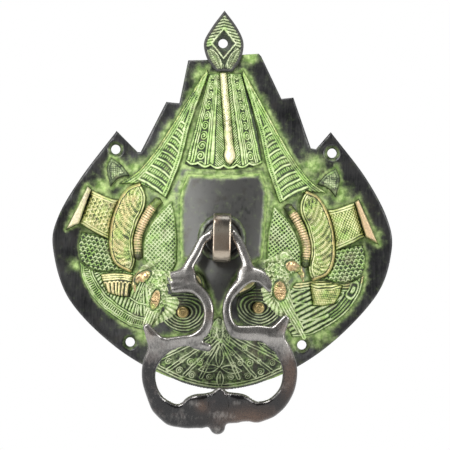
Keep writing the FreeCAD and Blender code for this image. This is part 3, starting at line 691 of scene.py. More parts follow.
def basket_pattern(x, z, depth, side):
    """Lines along the top, over looped posts on the left and over grains on the right."""
    top, along, _ = BASKET_TOP.near(x, z)
    if side > 0:
        arch = top + 0.03 * (along - 6.0) ** 2
        grains = 0.25 + 0.65 * dots(x + 0.4 * z, z, 1.2)
        return np.where(arch < 4.4, ridges(arch, 0.5, 0.8, 2.3, 3.8), grains), 0.25
    lines = ridges(top, 0.5, 0.7, 1.9, 3.1)
    across = (along % 2.4) - 1.2
    loops = ridge(np.hypot(across, top - 5.4), 0.85, 0.4) * (top < 5.6)
    posts = ridge(np.abs(across), 0.85, 0.4) * (top >= 5.6)
    in_lines = top < 3.8
    return np.where(in_lines, lines, np.maximum(loops, posts)), np.where(in_lines, 0.2, 0.85)


def socket_pattern(x, z, depth, side):
    eye_x, eye_z = sided_back(side, EYES[side])
    gap_x, gap_z = x - eye_x, z - eye_z
    radius = np.hypot(0.8 * gap_x, 1.15 * gap_z - 0.02 * gap_x ** 2)
    rings = 0.95 * ribs(radius + 0.4, 1.75, 0.6) - 0.4 * ramp(gap_z, -4.0, 4.0)
    return np.where(radius < 3.4, -0.6, rings), 0.0


def brow_pattern(x, z, depth, side):
    """Dark lid with a rubbed lens along its middle."""
    middle = ramp(depth, 1.0, 1.5)
    return np.where(depth < 0.7, 0.2, middle - 0.3), middle


SNOUT_STRAPS = [
    [(0.6, -99.6), (8.0, -107.0), (18.6, -118.6)], [(4.0, -98.6), (14.0, -106.0), (27.6, -116.0)],
    [(6.6, -97.2), (18.0, -103.0), (32.0, -110.4)], [(1.4, -102.4), (5.4, -110.0), (10.0, -119.8)],
]
SNOUT_CURLS = [
    (6.4, -106.4, 1.7), (10.4, -111.6, 2.1), (14.6, -118.6, 1.9), (15.6, -111.8, 2.2),
    (21.4, -116.2, 2.0), (12.4, -103.6, 1.8), (7.0, -112.8, 1.6), (27.4, -111.4, 1.8),
    (20.2, -110.8, 1.6), (5.6, -119.4, 1.7),
]
# Leaves of the snout, as (centre, angle in degrees, half length, half width).
SNOUT_LENSES = [
    ((-0.4, -92.6), 90, 8.6, 1.8), ((-3.4, -94.6), 76, 6.6, 1.7), ((2.8, -94.6), 104, 6.6, 1.7),
    ((-0.3, -108.6), 90, 5.6, 2.0), ((-5.9, -114.8), 8, 5.4, 2.0), ((6.0, -115.2), -8, 5.4, 2.0),
    ((0.2, -120.6), 90, 4.4, 1.7), ((25.4, -104.2), -30, 6.8, 1.6),
    ((-25.4, -104.6), 34, 6.8, 1.6),
]


def snout_pattern(x, z, depth, side):
    parts = [lens(x, z, *leaf) for leaf in SNOUT_LENSES]
    for hand in (-1, 1):
        for line in SNOUT_STRAPS:
            parts.append(strap(x, z, [(hand * place_x, place_z) for place_x, place_z in line]))
        for place_x, place_z, reach in SNOUT_CURLS:
            parts.append(curl((x - hand * place_x) / reach, (z - place_z) / reach, hand))
    blade = np.abs(x + 0.4)
    barbs = ribs(z - 1.2 * blade, 1.5) * (blade < 4.6) * (np.abs(z + 93.4) < 6.2)
    hem = np.maximum(ridge(depth, 0.9, 0.4), ridge(depth, 2.3, 0.35)) * (z < -111.0)
    ground = 0.25 + 0.25 * lumps(x, z, 1.1, 21)
    return np.maximum.reduce(parts + [0.65 * barbs, hem, ground]), 0.0


def feather(x, z, foot, tip):
    """Pointed leaf with barbs, and whether a point is inside it."""
    middle = ((foot[0] + tip[0]) / 2, (foot[1] + tip[1]) / 2)
    run_x, run_z = tip[0] - foot[0], tip[1] - foot[1]
    length, half_width = math.hypot(run_x, run_z), 2.6
    angle = math.degrees(math.atan2(run_z, run_x))
    along = ((x - foot[0]) * run_x + (z - foot[1]) * run_z) / length
    across = np.abs((z - foot[1]) * run_x - (x - foot[0]) * run_z) / length
    leaf = lens(x, z, middle, angle, length / 2 + 0.8, half_width)
    barbs = 0.75 * ribs(along - 1.2 * across, 1.2) * (across < half_width - 0.1)
    inside = (np.abs(along - length / 2) < length / 2) & (across < half_width + 0.1)
    return np.maximum(leaf, barbs), inside


FINIAL_FEATHERS = [((-2.6, 43.4), (-8.8, 53.6)), ((1.6, 43.4), (7.4, 54.0))]


def finial_pattern(x, z, depth, side):
    """Hatched leaf with a bare diamond round the screw hole and two feathers below it."""
    hole_x, hole_z = TOP_SCREW
    off = np.abs(x - hole_x - 0.4)
    tile = off / 6.0 + np.abs(z - hole_z) / 7.4
    hatch = ribs(z + 0.25 * off, 1.5, 0.8) * 0.8
    raised = np.where(z > hole_z - 2.0, hatch, 0.1)
    for foot, tip in FINIAL_FEATHERS:
        feathered, inside = feather(x, z, foot, tip)
        raised = np.where(inside & (tile > 1.0), feathered, raised)
    raised = np.where(tile < 1.0, 0.0, raised)
    raised = np.maximum(raised, ridge(tile, 1.07, 0.1))
    return np.where(depth < 1.2, 1.0, raised), 0.05


# Meshes.

def mesh_piece(name, points, faces, layers):
    """Smooth mesh from points in millimetres, with a float attribute for each layer."""
    mesh = bpy.data.meshes.new(name)
    mesh.from_pydata((np.asarray(points) * MM).tolist(), [], faces)
    mesh.polygons.foreach_set("use_smooth", np.ones(len(mesh.polygons), bool))
    for layer, values in layers.items():
        values = np.broadcast_to(np.asarray(values, np.float32), len(points))
        attribute = mesh.attributes.new(layer, "FLOAT", "POINT")
        attribute.data.foreach_set("value", np.ascontiguousarray(values))
    mesh.update()
    piece = bpy.data.objects.new(name, mesh)
    bpy.context.scene.collection.objects.link(piece)
    return piece


def closed_sheet(name, plan, faces, front, back, layers, behind=None):
    """Closed mesh over plan points (x, z), from its front and back heights above the door.

    The layers are those of the front; behind holds those that differ at the back.
    """
    count = len(plan)
    edges = np.stack([faces, np.roll(faces, -1, 1)], -1).reshape(-1, 2).astype(np.int64)
    lone = ~np.isin(edges[:, 0] * count + edges[:, 1], edges[:, 1] * count + edges[:, 0])
    rim = edges[lone]
    walls = np.stack([rim[:, 1], rim[:, 0], rim[:, 0] + count, rim[:, 1] + count], -1)
    points = np.vstack([np.stack([plan[:, 0], -height, plan[:, 1]], -1) for height in (front, back)])
    every_face = faces.tolist() + (faces[:, ::-1] + count).tolist() + walls.tolist()
    both = {}
    for layer, values in layers.items():
        rear = (behind or {}).get(layer, values)
        both[layer] = np.concatenate([np.broadcast_to(values, count), np.broadcast_to(rear, count)])
    return mesh_piece(name, points, every_face, both)


def grid_faces(keep):
    """Corner numbers of the kept cells of a grid."""
    rows, columns = keep.shape
    number = np.arange((rows + 1) * (columns + 1)).reshape(rows + 1, columns + 1)
    corners = [number[:-1, :-1], number[1:, :-1], number[1:, 1:], number[:-1, 1:]]
    return np.stack(corners, -1)[keep]


def relief(name, shape, thick, soft, cut, pattern, side=0, base=0.0, cell=0.3, flat=False, green=0.0):
    """Ornament on the dome: edges rounded over soft, and its pattern cut in to the depth cut.

    It stands on the dome raised by base, and sinks into it past its outline. With flat, the edges
    are straight slopes. Green is how much patina creeps in over its border.
    """
    margin, skirt = 1.0, 0.4
    xs = np.arange(shape.low[0] - margin, shape.high[0] + margin, cell)
    zs = np.arange(shape.low[1] - margin, shape.high[1] + margin, cell)
    x, z = np.meshgrid(xs, zs, indexing="ij")
    depth = shape.depth(x, z)
    near = depth > -skirt
    keep = near[:-1, :-1] | near[1:, :-1] | near[1:, 1:] | near[:-1, 1:]
    faces = grid_faces(keep)
    used, faces = np.unique(faces, return_inverse=True)
    faces = faces.reshape(-1, 4)
    x, z, depth = x.ravel()[used], z.ravel()[used], depth.ravel()[used]
    right_x, right_z = sided_back(side, (x, z)) if side else (x, z)
    uneven_x, uneven_z = 0.22 * lumps(x, z, 3.4, 11), 0.22 * lumps(x, z, 3.4, 12)
    raised, brass = pattern(right_x + uneven_x, right_z + uneven_z, depth, side)
    swell = np.clip(depth / soft, 0, 1)
    profile = swell if flat else np.sqrt(1 - (1 - swell) ** 2)
    ground = dome_height(x, z) + base
    carved = cut * (1 - raised + 0.25 * lumps(x, z, 1.3, 13)) * np.clip(depth / 0.7, 0, 1)
    sunk, under = 0.5, 0.8
    front = ground + thick * profile - carved - sunk * np.clip(-depth / 0.3, 0, 1)
    front = np.maximum(front, ground - sunk)
    # Tone is dark in the cuts and fades to dark at the outline: patina, with painted shade in the cuts
    # and at the foot of the ornament. It is pale on the tops with wear and painted highlight. The
    # random dark lumps here are grime.
    soot_and_shade = 0.3 * np.clip(lumps(x, z, 5.0, 14) + lumps(x, z, 1.7, 15), 0, 1)
    layers = {"tone": (raised - soot_and_shade) * ramp(depth, -skirt, 0.8), "brass": brass}
    if green:
        creep = np.exp(-(np.maximum(depth, 0) / 1.8) ** 2)
        layers["green"] = green * creep * (1 - nose_bare(x, z))
    return closed_sheet(name, np.stack([x, z], -1), faces, front, ground - under, layers)


def circle(centre, radius, count=HOLE_POINTS):
    angle = 2 * np.pi * np.arange(count) / count
    return np.array(centre) + radius * np.stack([np.cos(angle), np.sin(angle)], -1)


def loop_edges(first, count):
    """Pairs of point numbers round a closed loop."""
    ring = np.arange(count) + first
    return np.stack([ring, np.roll(ring, -1)], -1)


def inward(outer):
    """Unit vectors into an outline at its points."""
    loop = outer.points[:-1].astype(float)
    run = np.roll(loop, -1, 0) - np.roll(loop, 1, 0)
    normal = np.stack([-run[:, 1], run[:, 0]], -1) / np.hypot(*run.T)[:, None]
    return -normal if outer.depth(*(loop + 0.05 * normal).T).mean() < 0 else normal


def beside(line, shift):
    """Points of a line, moved sideways."""
    bend = np.gradient(line.points[:, :2], axis=0)
    off = np.stack([-bend[:, 1], bend[:, 0]], -1) / np.hypot(*bend.T)[:, None]
    return line.points[:, :2] + shift * off


def cut_sheet(outer, holes, spacing, rows, creases=()):
    """Plan points and triangles over an outline with screw holes.

    Rows of points run close inside the edge, round each hole and either side of each crease.
    """
    loop, normal = outer.points[:-1].astype(float), inward(outer)
    points, edges, total = [loop], [loop_edges(0, len(loop))], len(loop)
    for centre in holes:
        edges.append(loop_edges(total, HOLE_POINTS))
        points += [circle(centre, radius) for radius in (SCREW_HOLE_R,) + HOLE_RINGS]
        total += HOLE_POINTS * (1 + len(HOLE_RINGS))
    for row in rows:
        ring = loop + row * normal
        points.append(ring[np.abs(outer.depth(*ring.T) - row) < 0.2 * row])
    low, high = loop.min(0), loop.max(0)
    x, z = np.meshgrid(np.arange(low[0], high[0], spacing), np.arange(low[1], high[1], spacing))
    x = x + 0.5 * spacing * (np.arange(x.shape[0]) % 2)[:, None]
    inner = np.stack([x.ravel(), z.ravel()], -1)
    inner = inner[outer.depth(*inner.T) > rows[-1] + 0.5 * spacing]
    for centre in holes:
        inner = inner[np.hypot(*(inner - centre).T) > HOLE_RINGS[-1] + 0.5 * spacing]
    for line in creases:
        inner = inner[line.near(*inner.T)[0] > 0.9]
        points += [beside(line, shift) for shift in (-0.5, 0.5)]
    return triangles(np.vstack(points + [inner]), np.vstack(edges), outer, holes)


def triangles(points, edges, outer, holes):
    """Triangles over points that keep the edges, less those outside the outline or in a hole."""
    plan, _, faces, *_ = geometry.delaunay_2d_cdt(
        [Vector(point) for point in points], edges.tolist(), [], 0, 1e-5)
    plan = np.array([tuple(point) for point in plan])
    faces = np.array([face for face in faces if len(face) == 3])
    middle = plan[faces].mean(1)
    faces = faces[(outer.depth(*middle.T) > 0) & (hole_gap(middle, holes) > SCREW_HOLE_R * 0.98)]
    a, b, c = plan[faces[:, 0]], plan[faces[:, 1]], plan[faces[:, 2]]
    turn = (b - a)[:, 0] * (c - a)[:, 1] - (b - a)[:, 1] * (c - a)[:, 0]
    faces[turn < 0] = faces[turn < 0][:, ::-1]
    used, faces = np.unique(faces, return_inverse=True)
    return plan[used], faces.reshape(-1, 3)


def hole_gap(plan, holes):
    """Distance from the nearest screw hole's centre."""
    return np.min([np.hypot(*(plan - centre).T) for centre in holes], axis=0)


def countersink(distance):
    """Depth cut away round a screw hole, with a low burr at its rim."""
    cone = SINK_DEPTH * np.clip((SINK_R - distance) / (SINK_R - SCREW_HOLE_R), 0, 1)
    return cone - 0.25 * ridge(distance, SINK_R + 0.45, 0.6)


def surface_net(field, origin, step):
    """Points and quads of the closed surface where a sampled field passes zero."""
    cells = np.array(field.shape) - 1
    total, hits, quads = np.zeros((*cells, 3)), np.zeros(cells), []
    for axis in range(3):
        sides = [k for k in range(3) if k != axis]
        low = np.take(field, range(field.shape[axis] - 1), axis)
        high = np.take(field, range(1, field.shape[axis]), axis)
        edge = np.argwhere((low < 0) != (high < 0))
        first, second = low[tuple(edge.T)], high[tuple(edge.T)]
        point = edge.astype(float)
        point[:, axis] += first / (first - second)
        ring = []
        for shift in ((0, 0), (1, 0), (1, 1), (0, 1)):
            cell = edge.copy()
            cell[:, sides] -= shift
            np.add.at(total, tuple(cell.T), point)
            np.add.at(hits, tuple(cell.T), 1)
            ring.append(np.ravel_multi_index(tuple(cell.T), cells))
        quad = np.stack(ring, -1)
        turned = (first < 0) != (axis == 1)
        quads.append(np.where(turned[:, None], quad, quad[:, ::-1]))
    used, faces = np.unique(np.vstack(quads), return_inverse=True)
    points = total.reshape(-1, 3)[used] / hits.reshape(-1)[used, None]
    return points * step + origin, faces.reshape(-1, 4).tolist()


def sample_grid(low, high, step):
    """Coordinates of a grid's points, and its corner."""
    axes = [np.arange(a, b, step) for a, b in zip(low, high)]
    return np.meshgrid(*axes, indexing="ij"), np.array(low, float)


def nearest_samples(points, origin, step, field):
    """Grid numbers of the samples of a field that lie nearest to points."""
    number = ((points - origin) / step).round().astype(int)
    return np.clip(number, 0, np.array(field.shape) - 1).T


def blended(one, other, reach):
    """Smallest of two distances, with a fillet where they meet."""
    share = np.clip(0.5 + 0.5 * (other - one) / reach, 0, 1)
    return other + (one - other) * share - reach * share * (1 - share)


def rounded(across, through, radius):
    """Distance to a section given by two distances, with rounded corners."""
    a, b = across + radius, through + radius
    return np.hypot(np.maximum(a, 0), np.maximum(b, 0)) + np.minimum(np.maximum(a, b), 0) - radius


PROFILE_Z, PROFILE_Y, PROFILE_HALF = np.array(BAIL_PROFILE)[::-1].T


def profile_y(z):
    """Middle of the bail's thickness."""
    return np.interp(z, PROFILE_Z, PROFILE_Y)


# Pieces.

def nose_bare(x, z):
    """Where the patina is worn off either side of the nose."""
    return 0.85 * np.exp(-((x - NOSE_X) / 9.0) ** 2 - ((z + 66.0) / 10.0) ** 2)


def ornament_gap(x, z):
    """Distance to the nearest ornament, below zero under one."""
    shapes = [outline(name) for name in ON_AXIS]
    shapes += [outline(name, side) for name in IN_PAIRS for side in (-1, 1)]
    return np.min([-shape.depth(x, z) for shape in shapes], axis=0)


def plate_green(x, z, gap, hole):
    """Patina round the ornaments, in its spots and round the screw holes."""
    reach = 2.1 + 0.8 * lumps(x, z, 12.0, 31) + 0.6 * lumps(x, z, 3.0, 32)
    reach *= 1 - 0.6 * ramp(z, -36.0, -50.0) * ramp(-x, 52.0, 64.0)
    green = np.exp(-(np.maximum(gap, 0) / reach) ** 1.5)
    for spot_x, spot_z, spread in PATINA_SPOTS:
        square = ((x - spot_x) ** 2 + (z - spot_z) ** 2) / spread ** 2
        green = np.maximum(green, 0.95 * np.exp(-square * (1 + 0.5 * lumps(x, z, 3.0, 32))))
    green = np.maximum(green, 0.4 * ramp(hole, 5.0, 3.2))
    return green * (1 - nose_bare(x, z))


def make_plate():
    outer, cavity = outline("plate"), outline("cavity")
    plan, faces = cut_sheet(outer, PLATE_SCREWS, 1.15, (0.35, 0.8, 1.4, 2.2), [cavity])
    x, z = plan.T
    depth = outer.depth(x, z)
    chamfer = 0.9 * (1 - bead(np.clip(1 - depth / 1.2, 0, 1)))
    hole = hole_gap(plan, PLATE_SCREWS)
    free = ramp(depth, 0.0, 3.0) * ramp(hole, 4.0, 7.0)
    front = dome_height(x, z) - chamfer - countersink(hole)
    front += free * (0.3 * lumps(x, z, 7.0, 3) + 0.08 * lumps(x, z, 2.4, 5))
    inside = ramp(cavity.depth(x, z), -0.6, 0.9)
    back = np.maximum(0.0, dome_height(x, z) - WALL + 0.3 * lumps(x, z, 4.0, 8)) * inside
    gap = ornament_gap(x, z)
    # Painted shade: a dark band along the foot of each ornament and at the rim of each screw hole. The
    # tone layer also darkens the countersinks as painted shade, and the back is darker in blotches.
    soot_and_shade = 0.75 * np.exp(-(gap / 0.55) ** 2) * (gap > -0.4)
    soot_and_shade = np.maximum(soot_and_shade, 0.8 * ramp(hole, 3.4, 2.8))
    layers = {"tone": 0.5 * ramp(hole, 3.0, 4.6), "green": plate_green(x, z, gap, hole), "soot_and_shade": soot_and_shade}
    behind = {"green": 0.15 * inside, "soot_and_shade": 0.3 + 0.3 * lumps(x, z, 9.0, 33)}
    return closed_sheet("back_plate_cast", plan, faces, front, back, layers, behind)


def make_finial():
    shape = outline("finial")
    plan, faces = cut_sheet(shape, [TOP_SCREW], 0.34, (0.25, 0.55, 0.9))
    x, z = plan.T
    depth = shape.depth(x, z)
    hole = hole_gap(plan, [TOP_SCREW])
    raised, brass = finial_pattern(x, z, depth, 0)
    chamfer = 0.8 * (1 - bead(np.clip(1 - depth / 1.0, 0, 1)))
    pitched = 0.12 * np.clip(depth, 0, 5)
    front = FINIAL_THICK - chamfer + pitched - 0.9 * (1 - raised) * np.clip(depth, 0, 1)
    front -= np.maximum(0, countersink(hole) * 0.5)
    layers = {"tone": raised, "brass": brass, "green": ramp(depth, 0.6, 2.6)}
    back = ramp(outline("plate").depth(x, z), 0.1, 0.6)
    behind = {"tone": 0.6, "green": 0.0}
    return closed_sheet("finial_leaf", plan, faces, front, back, layers, behind)


def bail_across(x, z):
    """Distance to the bail's outline in the XZ plane, below zero inside."""
    across = None
    for run in [BAIL_LEFT, BOSS, BAIL_RIGHT] + list(STUBS.values()):
        gap, _, half = Path(smooth(run)).near(x, z)
        across = gap - half if across is None else blended(across, gap - half, 2.4)
    return across


def bail_crown(x, z, across):
    """How far the bail's faces rise above flat: domed, with lobes and two grooves on the boss."""
    dome = 0.8 - 0.8 * (1 - np.clip(-across / 5.0, 0, 1)) ** 2
    groove = np.exp(-(np.abs(x + 0.4) - 4.6) ** 2 / 0.9) * ramp(z, -138.0, -134.0)
    return dome + spots(x, z, BAIL_SWELLS) - groove * (z < -120.0)


def make_bail():
    step = 0.45
    (x, y, z), origin = sample_grid((-44, -46, -152), (44, -8, -37), step)
    flat_x, flat_z = x[:, 0], z[:, 0]
    across = bail_across(flat_x, flat_z)
    half = np.interp(flat_z, PROFILE_Z, PROFILE_HALF)
    thick = half - 0.5 + bail_crown(flat_x, flat_z, across)
    through = np.abs(y - profile_y(z)) - thick[:, None]
    body = rounded(across[:, None], through, np.interp(flat_z, *BEVEL_BY_Z)[:, None])
    gap = np.maximum(np.abs(x) - 5.4, np.abs(z - HINGE_Z - 1.4) - 5.0)
    body = np.maximum(body, -gap)
    bar = np.maximum(np.hypot(y - HINGE_Y, z - HINGE_Z) - BAR_R, np.abs(x) - 6.6)
    body = blended(body, bar, 0.8)
    points, faces = surface_net(body.astype(np.float32), origin, step)
    x, _, z = points.T
    at_x, _, at_z = nearest_samples(points, origin, step, body)
    # Painted highlights along the edges that face up, and painted sheen over the upper arms and in
    # spots.
    facing_up = np.clip(np.gradient(across, step, axis=1) + 0.1, 0, 1)
    edge = (ramp(-across, 1.5, 0.4) * facing_up)[at_x, at_z]
    painted_sheen = np.interp(z, *SHEEN_BY_Z)
    painted_sheen += (1.0 - painted_sheen) * edge + spots(x, z, BAIL_HIGHLIGHTS)
    rust = np.clip(spots(x, z, BAIL_RUST), 0, 1)
    return mesh_piece("bail_loop", points, faces, {"tone": painted_sheen, "rust": rust})


def chain(x, y, z, rings, flat=1.0):
    """Distance to a body that runs through round sections (x, z, radius) on the bail."""
    distance = None
    for (ax, az, ar), (bx, bz, br) in zip(rings, rings[1:]):
        ay, by = profile_y(az), profile_y(bz)
        run = np.array([bx - ax, by - ay, bz - az])
        gap = [x - ax, y - ay, z - az]
        share = np.clip(sum(g * r for g, r in zip(gap, run)) / (run @ run), 0, 1)
        off = [g - share * r for g, r in zip(gap, run)]
        off[1] = off[1] / flat
        part = np.sqrt(sum(o * o for o in off)) - (ar + share * (br - ar))
        distance = part if distance is None else blended(distance, part, 0.6)
    return distance


def oval(x, z, centre, size, tilt):
    """Radius that is 1 on an ellipse, with the angle round it."""
    turn = math.radians(tilt)
    gap_x, gap_z = x - centre[0], z - centre[1]
    across = (gap_x * math.cos(turn) + gap_z * math.sin(turn)) / size[0]
    up = (gap_z * math.cos(turn) - gap_x * math.sin(turn)) / size[1]
    return np.hypot(across, up), np.arctan2(across, up)


def parrot_cover(x, z, bird):
    """Height of the modelled plumage in the XZ plane, and how brassy it is."""
    off, along, _ = Path(smooth(bird["body"])).near(x, z)
    feathers = scales(off + 0.5, along, 2.3, 1.9)
    strands = ribs(off, 1.3, 0.75)
    tail = ramp(along, 22.0, 25.0)
    plumage = 0.25 + 0.55 * (feathers * (1 - tail) + strands * tail)
    wing, angle = oval(x, z, *bird["wing"])
    in_wing = ramp(wing, 1.08, 0.98)
    quills = ridge(wing, 0.86, 0.17) * (0.4 + 0.6 * ribs(angle * 3.6, 1.3))
    grains = dots(x + 0.3 * z, z, 1.3) * (wing < 0.66)
    head, _ = oval(x, z, *bird["head"])
    on_head = ramp(head, 1.1, 0.9)
    groove = ridge(head, 1.2, 0.16) + ridge(wing, 1.16, 0.12)
    cover = plumage * (1 - in_wing) * (1 - on_head) * (1 - np.clip(groove, 0, 1))
    cover += in_wing * (0.1 + 0.9 * np.maximum(quills, grains)) + on_head * (0.75 + 0.3 * bead(head))
    return cover, np.maximum(in_wing, 0.9 * on_head)


def make_parrot(name, bird):
    step, margin, nearest_y, farthest_y = 0.3, 1.5, -50.0, -26.0
    rows = [bird[part] for part in ("body", "beak", "crest", "fan", "shoulder")]
    row_x, row_z, radius = np.vstack(rows).T
    low = ((row_x - radius).min() - margin, nearest_y, (row_z - radius).min() - margin)
    high = ((row_x + radius).max() + margin, farthest_y, (row_z + radius).max() + margin)
    (x, y, z), origin = sample_grid(low, high, step)
    cover, brass = parrot_cover(x[:, 0], z[:, 0], bird)
    body = blended(chain(x, y, z, bird["body"]), chain(x, y, z, bird["shoulder"]), 1.0)
    body = body + 0.5 - 1.0 * cover[:, None]
    beak = chain(x, y, z, bird["beak"])
    crest = chain(x, y, z, bird["crest"], flat=0.7) - 0.4 * ribs(0.5 * x + z, 1.3)
    middle_x, middle_z = bird["wing"][0]
    spread = np.arctan2(z[:, 0] - middle_z, x[:, 0] - middle_x)
    barbs = 0.25 + 0.75 * ribs(spread * 7.0, 1.6, 0.85)
    fan = chain(x, y, z, bird["fan"], flat=0.7) + 0.5 - 0.8 * barbs[:, None]
    shape = np.minimum(blended(body, beak, 0.5), np.minimum(crest, fan))
    points, faces = surface_net(shape.astype(np.float32), origin, step)
    at_x, at_y, at_z = nearest_samples(points, origin, step, shape)
    on_fan = (fan < body)[at_x, at_y, at_z]
    on_beak = (beak < body)[at_x, at_y, at_z]
    # Tone follows the plumage's height: dark in the cuts and grooves (patina, and painted shade), pale
    # on top (wear and painted highlight).
    tone = np.where(on_fan, 0.2 + 0.6 * barbs[at_x, at_z], 0.15 + 0.85 * cover[at_x, at_z])
    metal = np.where(on_fan, 0.0, np.where(on_beak, 0.6, brass[at_x, at_z]))
    return mesh_piece(name + "_cast", points, faces, {"tone": tone, "brass": metal})


def make_hook():
    """Strap with a slot through it, cut off inside the dome's wall."""
    step = 0.3
    (x, y, z), origin = sample_grid((-8, -41, -62), (8, -12, -29), step)
    width = np.abs(x - PAD_CENTRE[0]) - HOOK_WIDTH / 2
    middle_z = (HOOK_TOP_Z + HOOK_BOTTOM_Z) / 2
    tall = np.abs(z - middle_z) - (HOOK_TOP_Z - HOOK_BOTTOM_Z) / 2
    side = rounded(tall, HOOK_FRONT_Y - y, 7.0)
    slot_z = np.clip(z, HINGE_Z, SLOT_TOP_Z)
    slot = np.hypot(y - HINGE_Y, z - slot_z) - SLOT_R
    dip = 0.35 * bead((x - PAD_CENTRE[0]) / 4.2)
    body = rounded(width, np.maximum(side + 0.35 - dip, -slot), 0.7)
    body = np.maximum(body, y + dome_height(x, z) - WALL / 2)
    points, faces = surface_net(body.astype(np.float32), origin, step)
    px, _, pz = points.T
    # Tone is painted light: darker on the top of the strap, which faces up, and paler on its front,
    # with painted highlights along its bevels.
    bevel = ramp(np.abs(px - PAD_CENTRE[0]), HOOK_WIDTH / 2 - 1.1, HOOK_WIDTH / 2 - 0.5)
    layers = {"tone": 0.2 + 0.7 * ramp(pz, -36.0, -42.0) + 0.6 * bevel,
              "rust": ramp(pz, -41.0, -46.0) * ramp(pz, -57.5, -50.0)}
    return mesh_piece("hook_strap", points, faces, layers)


def lathe(name, centre, profile, tone=1.0, count=64):
    """Turned piece round an axis along Y, from profile points (radius, y) and their tone."""
    angle = 2 * np.pi * np.arange(count) / count
    rings = [np.stack([centre[0] + radius * np.cos(angle), np.full(count, y),
                       centre[1] + radius * np.sin(angle)], -1) for radius, y in profile]
    number = np.arange(len(profile) * count).reshape(len(profile), count)
    after = np.roll(number, -1, 1)
    walls = np.stack([number[:-1], number[1:], after[1:], after[:-1]], -1).reshape(-1, 4)
    faces = walls.tolist() + [number[0].tolist(), number[-1, ::-1].tolist()]
    tone = np.repeat(np.broadcast_to(tone, len(profile)), count)
    return mesh_piece(name, np.vstack(rings), faces, {"tone": tone})


def make_eye(side, name):
    """Rivet with a ringed head in front and a headed tail behind the plate."""
    x, z = EYES[side]
    seat = -(float(dome_height(np.array(x), np.array(z))) + 2.4)
    head = [(0.25, -3.8), (0.55, -3.85), (0.8, -3.5), (1.1, -3.8), (1.5, -3.8), (1.8, -3.35),
            (2.1, -3.4), (2.5, -3.0), (2.8, -2.5), (3.1, -1.6), (3.15, -0.9), (3.0, -0.3)]
    tail = [(1.48, 0.4), (1.48, 6.6), (1.9, 6.8), (1.7, 7.5), (0.4, 7.8)]
    # The two grooves of the head are darkened: painted shade in the cuts.
    dark_rings = (2, 5)
    profile = [(radius, seat + y) for radius, y in head + tail]
    tone = [0.15 if i in dark_rings else 1.0 for i in range(len(profile))]
    return lathe("eye_rivet_" + name, (x, z), profile, tone)


def make_shank():
    """Threaded end of the hook behind the plate."""
    start, end, pitch = -20.0, -8.0, 0.9
    crest, root = SHANK_R - 0.05, SHANK_R - 0.4
    profile = [(0.6, -22.0), (SHANK_R, -21.5), (SHANK_R, start)]
    for turn in range(int((end - start) / pitch)):
        y = start + turn * pitch
        profile += [(crest, y + 0.15), (root, y + 0.45), (crest, y + 0.8)]
    profile += [(SHANK_R - 0.7, end), (0.4, end)]
    return lathe("hook_shank_thread", (0.0, SHANK_Z), profile)


# Materials.

def linear(red, green, blue):
    """Linear colour of display values from 0 to 255."""
    return tuple(((v / 255 + 0.055) / 1.055) ** 2.4 if v > 10 else v / 255 / 12.92
                 for v in (red, green, blue)) + (1.0,)


class Nodes:
    """Short calls for the nodes of one material."""

    def __init__(self, name):
        self.material = bpy.data.materials.new(name)
        self.material.use_nodes = True
        self.tree = self.material.node_tree
        self.shader = self.tree.nodes["Principled BSDF"]
        self.position = self.tree.nodes.new("ShaderNodeTexCoord").outputs["Object"]

    def put(self, socket, value):
        if isinstance(value, bpy.types.NodeSocket):
            self.tree.links.new(value, socket)
        else:
            socket.default_value = value

    def math(self, kind, first, second=0.0, third=0.0, clamp=False):
        node = self.tree.nodes.new("ShaderNodeMath")
        node.operation, node.use_clamp = kind, clamp
        for socket, value in zip(node.inputs, (first, second, third)):
            self.put(socket, value)
        return node.outputs[0]

    def vary(self, value, noise, amount, clamp=False):
        """A value moved up and down by half the amount at most."""
        return self.math("ADD", value, self.math("MULTIPLY_ADD", noise, amount, -amount / 2),
                         clamp=clamp)

    def layer(self, name):
        node = self.tree.nodes.new("ShaderNodeAttribute")
        node.attribute_name = name
        return node.outputs["Fac"]

    def noise(self, size, detail=4.0, roughness=0.6, stretch=None):
        """Noise whose lumps are about size millimetres across."""
        node = self.tree.nodes.new("ShaderNodeTexNoise")
        node.inputs["Scale"].default_value = 1000.0 / size
        node.inputs["Detail"].default_value = detail
        node.inputs["Roughness"].default_value = roughness
        position = self.position
        if stretch:
            shift = self.tree.nodes.new("ShaderNodeMapping")
            shift.inputs["Scale"].default_value = stretch
            self.tree.links.new(position, shift.inputs["Vector"])
            position = shift.outputs[0]
        self.tree.links.new(position, node.inputs["Vector"])
        return node.outputs["Fac"]

    def ramp(self, value, stops):
        node = self.tree.nodes.new("ShaderNodeValToRGB")
        elements = node.color_ramp.elements
        while len(elements) < len(stops):
            elements.new(0.5)
        for element, (at, colour) in zip(elements, stops):
            element.position, element.color = at, colour
        self.tree.links.new(value, node.inputs["Fac"])
        return node.outputs["Color"]

    def mix(self, share, first, second):
        node = self.tree.nodes.new("ShaderNodeMix")
        node.data_type = "RGBA"
        self.put(node.inputs["Factor"], share)
        self.put(node.inputs["A"], first)
        self.put(node.inputs["B"], second)
        return node.outputs["Result"]

    def fade(self, value, low, high):
        """0 below low, 1 above high."""
        node = self.tree.nodes.new("ShaderNodeMapRange")
        node.interpolation_type = "SMOOTHSTEP"
        self.put(node.inputs["Value"], value)
        self.put(node.inputs["From Min"], low)
        self.put(node.inputs["From Max"], high)
        return node.outputs["Result"]

    def bump(self, height, distance, strength=1.0):
        node = self.tree.nodes.new("ShaderNodeBump")
        node.inputs["Distance"].default_value = distance * MM
        node.inputs["Strength"].default_value = strength
        self.tree.links.new(height, node.inputs["Height"])
        self.tree.links.new(node.outputs["Normal"], self.shader.inputs["Normal"])


# Colours are display values from 0 to 255.
BRASS = (224, 204, 146)
COPPER = (126, 98, 80)


def grey(value):
    return (value, value, value, 1.0)


